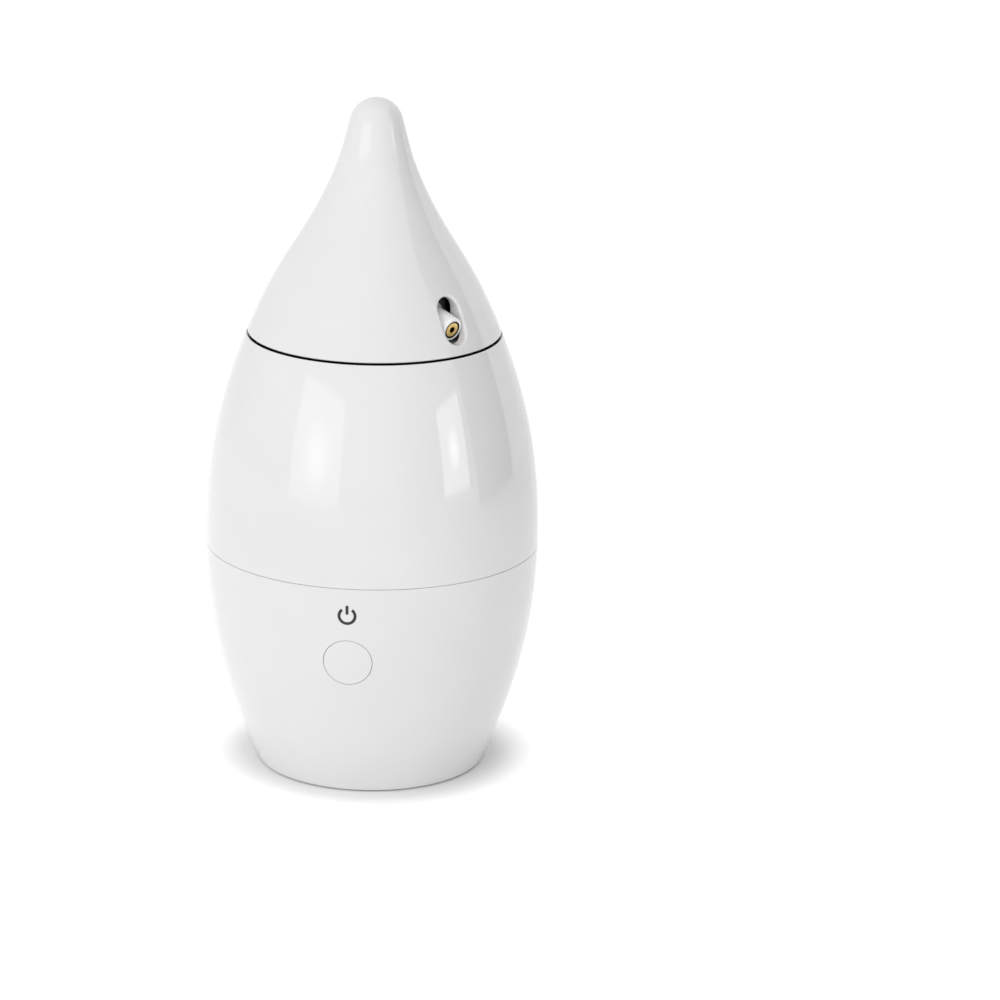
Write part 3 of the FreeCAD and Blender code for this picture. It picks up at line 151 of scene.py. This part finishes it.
lamps = {
    # degrees round from +X, degrees up, distance, width, height, radiance,
    # how many times brighter its middle is, and how far that reaches as a share of its size
    "left_soft_box": (-123.0, 7.0, 1.6, 1.06, 0.84, 1.25, 2.4, 0.36),
    "right_soft_box": (-21.5, 6.5, 1.6, 0.58, 0.54, 2.5, 2.5, 0.3),
    "ceiling_silk": (-60.0, 78.0, 1.6, 1.6, 1.6, 0.75, 1.0, 0.5),
    "left_silk": (-140.0, 20.0, 1.6, 1.9, 1.6, 0.4, 1.0, 0.5),
    "low_silk": (-95.0, -1.0, 0.9, 1.1, 0.16, 0.9, 1.0, 0.5),
}
unseen_in_gloss = ("ceiling_silk", "left_silk", "low_silk")
for name, (round_from_x, rise, distance, width, tall, radiance, middle, reach) in lamps.items():
    place, facing = stand_off(round_from_x, rise, distance)
    bpy.ops.object.light_add(type="AREA", location=place, rotation=facing)
    lamp = bpy.context.object
    lamp.name = name
    lamp.visible_glossy = name not in unseen_in_gloss
    lamp.data.shape = "RECTANGLE"
    lamp.data.size = width
    lamp.data.size_y = tall
    lamp.data.energy = radiance * math.pi * width * tall
    lamp.data.use_nodes = True
    tree = lamp.data.node_tree
    spot = add_node(tree, "ShaderNodeNewGeometry").outputs["Parametric"]
    away = add_node(tree, "ShaderNodeVectorMath", {0: spot, 1: (0.5, 0.5, 0.0)}, operation="DISTANCE")
    hot = add_node(tree, "ShaderNodeMapRange",
                   {"Value": away.outputs["Value"], "From Min": 0.0, "From Max": reach,
                    "To Min": middle, "To Max": 1.0},
                   interpolation_type="SMOOTHSTEP")
    tree.links.new(hot.outputs[0], tree.nodes["Emission"].inputs["Strength"])

flag_round_from_x, flag_rise, flag_distance = 13.0, 20.0, 0.62
flag_width, flag_height = 0.46, 0.75
flag_black, flag_roughness = "#2A2A2A", 0.9

place, facing = stand_off(flag_round_from_x, flag_rise, flag_distance)
bpy.ops.mesh.primitive_plane_add(size=1.0, location=place, rotation=facing)
flag = bpy.context.object
flag.name = "black_flag"
flag.scale = (flag_width, flag_height, 1.0)
flag.visible_camera = False
cloth = bpy.data.materials.new("black_flag_cloth")
cloth.use_nodes = True
cloth_finish = cloth.node_tree.nodes["Principled BSDF"].inputs
cloth_finish["Base Color"].default_value = linear(flag_black)
cloth_finish["Roughness"].default_value = flag_roughness
flag.data.materials.append(cloth)

# ---------------------------------------------------------------- base and battery door
# The base plate and the battery door close the toy's underside. They are moulded in white ABS, and their outer faces
# have the fine spark-eroded grain that hides scratches.

middling, wide = (0.35, 0.65), (0.3, 0.7)  # the parts of a noise's values that are spread over a whole blend
gloss_drift = 0.15  # of the roughness, either way, over the grain


def start_finish(name, sockets):
    """A new material with these values on its shader, its node tree and its shader."""
    made = bpy.data.materials.new(name)
    made.use_nodes = True
    shader = made.node_tree.nodes["Principled BSDF"]
    for socket, value in sockets.items():
        shader.inputs[socket].default_value = value
    return made, made.node_tree, shader


def wire_finish(tree, shader, colour, gloss, relief=None):
    """Wires a colour, a roughness and a relief into the shader."""
    tree.links.new(colour.outputs["Result"], shader.inputs["Base Color"])
    tree.links.new(gloss.outputs[0], shader.inputs["Roughness"])
    if relief is not None:
        tree.links.new(relief.outputs["Normal"], shader.inputs["Normal"])


def moulded_plastic(name, light, dark, roughness, grain, depth, cloud=30.0, sockets=None):
    """Moulded plastic: its tone drifts a little, and the grain of its skin also breaks up its gloss. Sizes in mm."""
    made, tree, shader = start_finish(name, {"IOR": 1.53, **(sockets or {})})
    place = add_node(tree, "ShaderNodeTexCoord").outputs["Object"]
    drift = add_node(tree, "ShaderNodeTexNoise", {"Vector": place, "Scale": 1000 / cloud, "Detail": 2.0})
    spread = add_node(tree, "ShaderNodeMapRange",
                      {"Value": drift.outputs["Fac"], "From Min": middling[0], "From Max": middling[1]})
    tone = add_node(tree, "ShaderNodeMix", {"Factor": spread.outputs[0], "A": linear(light), "B": linear(dark)},
                    data_type="RGBA")
    skin = add_node(tree, "ShaderNodeTexNoise", {"Vector": place, "Scale": 1000 / grain, "Detail": 2.0})
    gloss = add_node(tree, "ShaderNodeMapRange",
                     {"Value": skin.outputs["Fac"], "From Min": wide[0], "From Max": wide[1],
                      "To Min": roughness * (1 - gloss_drift), "To Max": roughness * (1 + gloss_drift)})
    relief = add_node(tree, "ShaderNodeBump", {"Height": skin.outputs["Fac"], "Distance": depth / 1000})
    wire_finish(tree, shader, tone, gloss, relief)
    return made


def finish_nodes(names, material):
    """Gives CAD nodes their material."""
    for name in names:
        nodes[name].data.materials.clear()
        nodes[name].data.materials.append(material)


base_abs = moulded_plastic("grained_white_abs", light="#E4E4E5", dark="#DCDCDE", roughness=0.48, grain=0.45,
                           depth=0.03)
finish_nodes(["base_plate", "battery_door"], base_abs)

# ---------------------------------------------------------------- feet
# Four round feet of moulded thermoplastic rubber, pressed into pockets of the base plate. Rubber is almost black and
# dull, and handling leaves it with greyer, drier patches.

foot_rubber = moulded_plastic("moulded_tpe_rubber", light="#2B2B2D", dark="#222224", roughness=0.72, grain=0.3,
                              depth=0.03, cloud=4.0, sockets={"Specular IOR Level": 0.35})
finish_nodes(["rubber_feet"], foot_rubber)

# ---------------------------------------------------------------- screws
# Self-tapping screws, cold headed and zinc plated. Tumbling and plating leave a soft grey shine with a faint mottle,
# and the press leaves fine marks on the heads.

least_worn, most_worn = 0.8, 1.25  # of the roughness, over the marks


def plain_metal(name, light, dark, roughness, marks, depth, stretch=(1.0, 1.0, 1.0)):
    """Metal with fine marks on its surface, in mm. A stretch under 1 draws the marks out along that axis."""
    made, tree, shader = start_finish(name, {"Metallic": 1.0})
    place = add_node(tree, "ShaderNodeTexCoord").outputs["Object"]
    drawn = add_node(tree, "ShaderNodeMapping", {"Vector": place, "Scale": stretch})
    mark = add_node(tree, "ShaderNodeTexNoise", {"Vector": drawn.outputs[0], "Scale": 1000 / marks, "Detail": 3.0})
    spread = add_node(tree, "ShaderNodeMapRange",
                      {"Value": mark.outputs["Fac"], "From Min": wide[0], "From Max": wide[1]})
    tone = add_node(tree, "ShaderNodeMix", {"Factor": spread.outputs[0], "A": linear(light), "B": linear(dark)},
                    data_type="RGBA")
    gloss = add_node(tree, "ShaderNodeMapRange",
                     {"Value": spread.outputs[0], "To Min": roughness * least_worn,
                      "To Max": roughness * most_worn})
    relief = add_node(tree, "ShaderNodeBump", {"Height": mark.outputs["Fac"], "Distance": depth / 1000})
    wire_finish(tree, shader, tone, gloss, relief)
    return made


screw_zinc = plain_metal("zinc_plated_steel", light="#C9CBCE", dark="#A9ABAF", roughness=0.32, marks=0.6,
                         depth=0.006)
finish_nodes(["case_screws", "tie_screws", "battery_door_screws", "board_screws", "small_screws", "cap_screws",
              "cradle_screws"], screw_zinc)

# ---------------------------------------------------------------- battery bay
# A black ABS box with three wells, clamped between the base plate and the bulkhead. It is moulded with a dull,
# even grain, because nobody sees it until the door is off.

bay_abs = moulded_plastic("black_moulded_abs", light="#1C1C1E", dark="#151517", roughness=0.5, grain=0.5,
                          depth=0.025)
finish_nodes(["battery_bay"], bay_abs)

# ---------------------------------------------------------------- battery contacts
# Spring steel strip and wire, formed and then nickel plated. The plating is bright and slightly yellow, with fine
# marks along the direction in which the strip was rolled.

contact_nickel = plain_metal("nickel_plated_spring_steel", light="#D6D2C8", dark="#BDB9AE", roughness=0.22,
                             marks=0.35, depth=0.003, stretch=(0.2, 1.0, 1.0))
finish_nodes(["door_contacts", "bay_contacts", "nose_springs"], contact_nickel)

# ---------------------------------------------------------------- batteries
# Three AA cells. Each is a steel can in a shrunk PVC sleeve, which is printed in one dull blue with a pale band at
# one end, and leaves the steel bare at both ends.

sleeve_blue, sleeve_shade, band_grey = "#2F4A63", "#28415A", "#C6C9CC"
bare_steel = "#B9BABD"
bare_foot, bare_top = 0.0011, 0.0022
band_width = 0.009
print_grain = 2.5  # mm
print_gloss = (0.22, 0.38)
for number in (1, 2, 3):
    name = f"battery_cell_{number}"
    lowest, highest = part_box(name)
    made, tree, shader = start_finish(f"shrunk_pvc_sleeve_{number}", {"Coat Weight": 0.3, "Coat Roughness": 0.08})
    place = add_node(tree, "ShaderNodeTexCoord").outputs["Object"]
    height = add_node(tree, "ShaderNodeSeparateXYZ", {"Vector": place}).outputs["Z"]
    above = add_node(tree, "ShaderNodeMath", {0: height, 1: lowest[2] + bare_foot}, operation="GREATER_THAN")
    below = add_node(tree, "ShaderNodeMath", {0: height, 1: highest[2] - bare_top}, operation="LESS_THAN")
    covered = add_node(tree, "ShaderNodeMath", {0: above.outputs[0], 1: below.outputs[0]}, operation="MULTIPLY")
    banded = add_node(tree, "ShaderNodeMath", {0: height, 1: highest[2] - band_width}, operation="GREATER_THAN")
    ink = add_node(tree, "ShaderNodeTexNoise", {"Vector": place, "Scale": 1000 / print_grain, "Detail": 3.0})
    print_tone = add_node(tree, "ShaderNodeMix", {"Factor": ink.outputs["Fac"], "A": linear(sleeve_blue),
                                                  "B": linear(sleeve_shade)}, data_type="RGBA")
    sleeve = add_node(tree, "ShaderNodeMix", {"Factor": banded.outputs[0], "A": print_tone.outputs["Result"],
                                              "B": linear(band_grey)}, data_type="RGBA")
    tone = add_node(tree, "ShaderNodeMix", {"Factor": covered.outputs[0], "A": linear(bare_steel),
                                            "B": sleeve.outputs["Result"]}, data_type="RGBA")
    steel = add_node(tree, "ShaderNodeMath", {0: 1.0, 1: covered.outputs[0]}, operation="SUBTRACT")
    gloss = add_node(tree, "ShaderNodeMapRange",
                     {"Value": ink.outputs["Fac"], "To Min": print_gloss[0], "To Max": print_gloss[1]})
    wire_finish(tree, shader, tone, gloss)
    tree.links.new(steel.outputs[0], shader.inputs["Metallic"])
    finish_nodes([name], made)

# ---------------------------------------------------------------- bulkhead, decks, column, turntable and cradles
# The carriers inside the casing are moulded in grey ABS. They are ribbed, matt and plain, with the slight sheen of
# a mould that was blasted and never polished.

chassis_abs = moulded_plastic("blasted_grey_abs", light="#7B7D80", dark="#6F7174", roughness=0.42, grain=0.35,
                              depth=0.02)
finish_nodes(["bulkhead", "drive_deck", "gear_bridge", "column", "turntable", "laser_cradles"], chassis_abs)

# ---------------------------------------------------------------- control board
# The boards are glass epoxy laminate under green solder mask. Copper tracks lie under the mask and lift it by a few
# hundredths of a millimetre, so they show as paler lines at right angles. Real tracks are finer than drawn here.

mask_green, mask_over_copper = "#11502F", "#1F7346"
track_pitch = 2.4  # mm
track_shuffle = 0.85  # how far the tracks leave an even grid
track_edge, track_end = 0.12, 0.2  # from a track's middle, as a share of the pitch
copper_height = 0.00003
weave_pitch = 0.6  # mm
mask_gloss = (0.2, 0.42)

board_mask, tree, shader = start_finish("solder_mask_on_glass_epoxy", {"IOR": 1.55})
place = add_node(tree, "ShaderNodeTexCoord").outputs["Object"]
second, nearest = [
    add_node(tree, "ShaderNodeTexVoronoi",
             {"Vector": place, "Scale": 1000 / track_pitch, "Randomness": track_shuffle},
             feature=feature, distance="CHEBYCHEV").outputs["Distance"]
    for feature in ("F2", "F1")
]
gap = add_node(tree, "ShaderNodeMath", {0: second, 1: nearest}, operation="SUBTRACT")
track = add_node(tree, "ShaderNodeMapRange",
                 {"Value": gap.outputs[0], "From Min": track_edge, "From Max": track_end})
tone = add_node(tree, "ShaderNodeMix", {"Factor": track.outputs[0], "A": linear(mask_over_copper),
                                        "B": linear(mask_green)}, data_type="RGBA")
weave = add_node(tree, "ShaderNodeTexNoise", {"Vector": place, "Scale": 1000 / weave_pitch, "Detail": 2.0})
gloss = add_node(tree, "ShaderNodeMapRange",
                 {"Value": weave.outputs["Fac"], "To Min": mask_gloss[0], "To Max": mask_gloss[1]})
relief = add_node(tree, "ShaderNodeBump", {"Height": track.outputs[0], "Distance": copper_height}, invert=True)
wire_finish(tree, shader, tone, gloss, relief)
finish_nodes(["control_board", "slip_ring_board", "laser_diode_1", "laser_diode_2"], board_mask)

# ---------------------------------------------------------------- switch, chip and other black parts
# The switch, the chip, the motor's end bell, the brush block and the lasers' sleeves are moulded in black epoxy or
# glass-filled nylon, which is dull and a little speckled by its filler.

black_nylon = moulded_plastic("glass_filled_black_nylon", light="#171616", dark="#0E0D0D", roughness=0.55,
                              grain=0.25, depth=0.012, cloud=1.5)
finish_nodes(["switch_body", "switch_plunger", "control_chip", "board_parts", "motor_end_bell", "brush_block",
              "laser_sleeve_1", "laser_sleeve_2"], black_nylon)

# ---------------------------------------------------------------- plugs on the board
# The plug housings are natural nylon, moulded without a pigment, so they are a warm and slightly milky white.

plug_nylon = moulded_plastic("natural_nylon", light="#E2DED2", dark="#D7D2C4", roughness=0.4, grain=0.4,
                             depth=0.01, cloud=3.0, sockets={"Subsurface Weight": 0.1, "Subsurface Scale": 0.001})
finish_nodes(["board_plugs"], plug_nylon)

# ---------------------------------------------------------------- motor
# A small can motor. The can is drawn from steel sheet and zinc plated, so faint bands run round it. Its pinion is
# turned brass, and its shaft and the gears' axles are ground steel rod.

can_zinc = plain_metal("drawn_zinc_plated_steel", light="#BFC1C3", dark="#A3A6A9", roughness=0.28, marks=0.8,
                       depth=0.004, stretch=(0.08, 0.08, 1.0))
finish_nodes(["motor_can"], can_zinc)
ground_steel = plain_metal("ground_steel_rod", light="#CFD0D2", dark="#BBBDC0", roughness=0.16, marks=0.25,
                           depth=0.001, stretch=(1.0, 1.0, 0.15))
finish_nodes(["motor_shaft", "gear_axles", "tilt_pins", "hub_clip"], ground_steel)
rolled_brass = plain_metal("rolled_and_turned_brass", light="#D9BC7C", dark="#B8975A", roughness=0.27, marks=0.5,
                           depth=0.002, stretch=(1.0, 1.0, 0.3))
finish_nodes(["motor_pinion", "motor_terminals", "brushes", "slip_ring_tracks"], rolled_brass)

# ---------------------------------------------------------------- gears, washer and crown
# The gears, the thrust washer and the crown that nods the lasers are moulded in natural acetal. It is a milky, waxy
# white that light sinks into a little, with a smooth skin and a greasy sheen.

acetal = moulded_plastic("natural_acetal", light="#E6E3D8", dark="#DCD8CB", roughness=0.3, grain=0.5, depth=0.008,
                         cloud=6.0, sockets={"Subsurface Weight": 0.15, "Subsurface Scale": 0.001})
finish_nodes(["first_gear", "second_gear", "turntable_gear", "crown_cam", "thrust_washer"], acetal)

# ---------------------------------------------------------------- casing
# The lower and middle casing, the pointed cap and the button are injection moulded in gloss white ABS. The polished
# moulds leave a skin like enamel, with a very faint ripple. The two flat rims where the cap turns are coloured near
# black, as painted shade that makes the gap between the cap and the casing dark.

# painted shade: the flat rims in the gap between the cap and the middle casing are coloured near black
gap_shade_black = "#1C1C1D"
gap_shade_overlap = 0.00001  # beyond the flat rims, onto their rounded edges
rim_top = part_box("middle_shell")[1][2]
cap_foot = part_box("cap_shell")[0][2]

casing_abs = moulded_plastic("polished_white_abs", light="#E3E3E4", dark="#E0E0E1", roughness=0.06, grain=9.0,
                             depth=0.004, cloud=40.0)
tree = casing_abs.node_tree
skin_colour = tree.nodes["Principled BSDF"].inputs["Base Color"]
bare_tone = skin_colour.links[0].from_socket
place = add_node(tree, "ShaderNodeTexCoord").outputs["Object"]
height = add_node(tree, "ShaderNodeSeparateXYZ", {"Vector": place}).outputs["Z"]
above = add_node(tree, "ShaderNodeMath", {0: height, 1: rim_top - gap_shade_overlap}, operation="GREATER_THAN")
below = add_node(tree, "ShaderNodeMath", {0: height, 1: cap_foot + gap_shade_overlap}, operation="LESS_THAN")
gap_shaded = add_node(tree, "ShaderNodeMath", {0: above.outputs[0], 1: below.outputs[0]}, operation="MULTIPLY")
with_gap_shade = add_node(tree, "ShaderNodeMix", {"Factor": gap_shaded.outputs[0], "A": bare_tone, "B": linear(gap_shade_black)},
                  data_type="RGBA")
tree.links.new(with_gap_shade.outputs["Result"], skin_colour)
finish_nodes(["lower_shell", "middle_shell", "cap_shell", "button_cap"], casing_abs)

# ---------------------------------------------------------------- power mark
# Above the button the casing carries a plain power mark, a broken ring with a bar in its gap. It is pad printed in
# black ink, which lies on the gloss as a thin, slightly duller film.

mark_height = 0.0563  # of its centre above the floor
mark_radius = 0.0026
mark_line = 0.0008
mark_gap = 38.0  # degrees on each side of the top
mark_bar = 0.0026
ink_thickness = 0.00003
ink_lift = 0.00001
mark_distance = 0.06  # in front of the axis, before it is laid on the casing
ring_corners = 180
middle_disc = mark_radius / 10  # the face that the inset leaves inside the ring has its middle nearer than this
pick_margin = mark_line / 9
end_bevel = mark_line * 0.3
ink_dark, ink_light = "#141415", "#242426"
ink_grain = 0.4  # mm
ink_gloss = (0.25, 0.45)


def select_where(mesh, kind, wanted):
    """In edit mode, selects the faces or vertices whose middle satisfies wanted, and nothing else."""
    bpy.ops.mesh.select_mode(type=kind)
    bpy.ops.mesh.select_all(action="DESELECT")
    edit = bmesh.from_edit_mesh(mesh)
    for item in edit.faces if kind == "FACE" else edit.verts:
        item.select_set(wanted(item.calc_center_median() if kind == "FACE" else item.co))
    bmesh.update_edit_mesh(mesh)


def from_top(point):
    """Degrees between a point of the ring and the ring's top."""
    return abs(math.degrees(math.atan2(point.x, point.y)))


def apply_modifier(piece, kind, **settings):
    """Adds a modifier with these settings and applies it."""
    modifier = piece.modifiers.new(kind.lower(), kind)
    for name, value in settings.items():
        setattr(modifier, name, value)
    bpy.ops.object.modifier_apply(modifier=modifier.name)


bpy.ops.object.select_all(action="DESELECT")
bpy.ops.mesh.primitive_circle_add(vertices=ring_corners, radius=mark_radius, fill_type="NGON")
mark = bpy.context.object
mark.name = "power_mark"
bpy.ops.object.mode_set(mode="EDIT")
bpy.ops.mesh.select_all(action="SELECT")
bpy.ops.mesh.inset(thickness=mark_line)
select_where(mark.data, "FACE", lambda middle: middle.length < middle_disc)
bpy.ops.mesh.delete(type="FACE")
select_where(mark.data, "FACE", lambda middle: from_top(middle) < mark_gap)
bpy.ops.mesh.delete(type="FACE")
bar_middle = (0, mark_radius + mark_line / 2 - mark_bar / 2, 0)
bpy.ops.mesh.select_all(action="DESELECT")
bpy.ops.mesh.primitive_grid_add(x_subdivisions=1, y_subdivisions=8, size=1.0, location=bar_middle)
bpy.ops.transform.resize(value=(mark_line, mark_bar, 1.0), center_override=bar_middle)
bar_top, bar_foot = bar_middle[1] + mark_bar / 2, bar_middle[1] - mark_bar / 2


def at_bar_end(spot):
    """Whether a point is one of the corners at the bar's ends."""
    high, low = spot.y > bar_top - pick_margin, 0 < spot.y < bar_foot + pick_margin
    return abs(spot.x) < mark_line and (high or low)


select_where(mark.data, "VERT", at_bar_end)
bpy.ops.mesh.bevel(offset=end_bevel, segments=4, affect="VERTICES")
bpy.ops.object.mode_set(mode="OBJECT")
mark.location = (0, -mark_distance, mark_height)
mark.rotation_euler = (math.radians(90), 0, 0)
bpy.ops.object.transform_apply(location=True, rotation=True, scale=True)
apply_modifier(mark, "SHRINKWRAP", target=nodes["lower_shell"], wrap_method="PROJECT", use_project_y=True,
               wrap_mode="ABOVE_SURFACE", offset=ink_lift)
apply_modifier(mark, "SOLIDIFY", thickness=ink_thickness, offset=1.0)

pad_ink, tree, shader = start_finish("pad_printed_black_ink", {"IOR": 1.5})
place = add_node(tree, "ShaderNodeTexCoord").outputs["Object"]
film = add_node(tree, "ShaderNodeTexNoise", {"Vector": place, "Scale": 1000 / ink_grain, "Detail": 3.0})
tone = add_node(tree, "ShaderNodeMix", {"Factor": film.outputs["Fac"], "A": linear(ink_dark),
                                        "B": linear(ink_light)}, data_type="RGBA")
gloss = add_node(tree, "ShaderNodeMapRange",
                 {"Value": film.outputs["Fac"], "To Min": ink_gloss[0], "To Max": ink_gloss[1]})
wire_finish(tree, shader, tone, gloss)
mark.data.materials.append(pad_ink)
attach(mark, "casing")

# ---------------------------------------------------------------- lasers
# Each laser is a satin white ABS barrel on two steel pins, with a turned brass module in a black sleeve and an acrylic
# lens in it. The lathe's rings on the module are drawn much coarser than they are. The barrel's bore and the module's
# exit hole are coloured near black, as painted shade in these hollows.

brass_light, brass_dark = "#DDBE7E", "#C9A766"
# painted shade: near black for the inside of the barrel's bore and the module's exit hole
painted_bore_shade = "#0B0A09"
exit_hole = 0.00087  # radius
bore = 0.00256  # radius
lathe_pitch = 1.885  # mm
wave_length = 2 * math.pi / 20  # between the rings of a wave texture of scale 1
ring_depth = 0.000004
stain_size = 1.2  # mm
brass_gloss = (0.3, 0.45)
barrel_dip = 15.0
lens_tint = "#1A0C0D"
lens_ripple = 0.8  # mm
lens_gloss = (0.01, 0.05)


def barrel_axis(tree, pivot, facing):
    """A point in the barrel's own axes, with X along the bore, and its distance from the bore's middle."""
    place = add_node(tree, "ShaderNodeTexCoord").outputs["Object"]
    # a texture mapping goes the other way round, so the barrel's own axis becomes the pattern's X
    axis = add_node(tree, "ShaderNodeMapping", {"Vector": place, "Location": pivot, "Rotation": facing},
                    vector_type="TEXTURE")
    across = add_node(tree, "ShaderNodeVectorMath", {0: axis.outputs[0], 1: (0.0, 1.0, 1.0)}, operation="MULTIPLY")
    radius = add_node(tree, "ShaderNodeVectorMath", {0: across.outputs[0]}, operation="LENGTH")
    return axis.outputs[0], radius.outputs["Value"]


def paint_shade_inside(tree, radius, limit):
    """Paints shade: turns the shader black where this distance from the bore's middle is under the limit."""
    colour = tree.nodes["Principled BSDF"].inputs["Base Color"]
    bare = colour.links[0].from_socket
    inside = add_node(tree, "ShaderNodeMath", {0: radius, 1: limit}, operation="LESS_THAN")
    finish = add_node(tree, "ShaderNodeMix", {"Factor": inside.outputs[0], "A": bare, "B": linear(painted_bore_shade)},
                      data_type="RGBA")
    tree.links.new(finish.outputs["Result"], colour)


for joint in frame["joints"]:
    if joint["name"] not in ("laser_1_tilt", "laser_2_tilt"):
        continue
    number = joint["name"].split("_")[1]
    pivot = Vector(joint["pos_m"])
    facing = Euler((0, math.radians(barrel_dip), math.atan2(pivot.y, pivot.x)))

    barrel_abs = moulded_plastic(f"satin_white_abs_{number}", light="#F6F6F6", dark="#F0F0F1", roughness=0.3,
                                 grain=0.8, depth=0.006, cloud=5.0)
    radius = barrel_axis(barrel_abs.node_tree, pivot, facing)[1]
    paint_shade_inside(barrel_abs.node_tree, radius, bore)
    finish_nodes([f"laser_barrel_{number}"], barrel_abs)

    made, tree, shader = start_finish(f"turned_brass_{number}", {"Metallic": 1.0})
    axis, radius = barrel_axis(tree, pivot, facing)
    rings = add_node(tree, "ShaderNodeTexWave",
                     {"Vector": axis, "Scale": 1000 * wave_length / lathe_pitch, "Distortion": 0.6, "Detail": 1.0},
                     wave_type="RINGS", rings_direction="X")
    stain = add_node(tree, "ShaderNodeTexNoise", {"Vector": axis, "Scale": 1000 / stain_size, "Detail": 2.0})
    blend = add_node(tree, "ShaderNodeMath", {0: rings.outputs["Fac"], 1: stain.outputs["Fac"]},
                     operation="MULTIPLY")
    tone = add_node(tree, "ShaderNodeMix", {"Factor": blend.outputs[0], "A": linear(brass_light),
                                            "B": linear(brass_dark)}, data_type="RGBA")
    gloss = add_node(tree, "ShaderNodeMapRange",
                     {"Value": blend.outputs[0], "To Min": brass_gloss[0], "To Max": brass_gloss[1]})
    relief = add_node(tree, "ShaderNodeBump", {"Height": rings.outputs["Fac"], "Distance": ring_depth})
    wire_finish(tree, shader, tone, gloss, relief)
    paint_shade_inside(tree, radius, exit_hole)
    finish_nodes([f"laser_module_{number}"], made)

lens_acrylic, tree, shader = start_finish(
    "moulded_acrylic", {"IOR": 1.49, "Transmission Weight": 1.0, "Base Color": linear(lens_tint)}
)
place = add_node(tree, "ShaderNodeTexCoord").outputs["Object"]
skin = add_node(tree, "ShaderNodeTexNoise", {"Vector": place, "Scale": 1000 / lens_ripple, "Detail": 1.0})
gloss = add_node(tree, "ShaderNodeMapRange",
                 {"Value": skin.outputs["Fac"], "To Min": lens_gloss[0], "To Max": lens_gloss[1]})
tree.links.new(gloss.outputs[0], shader.inputs["Roughness"])
finish_nodes(["laser_lens_1", "laser_lens_2"], lens_acrylic)
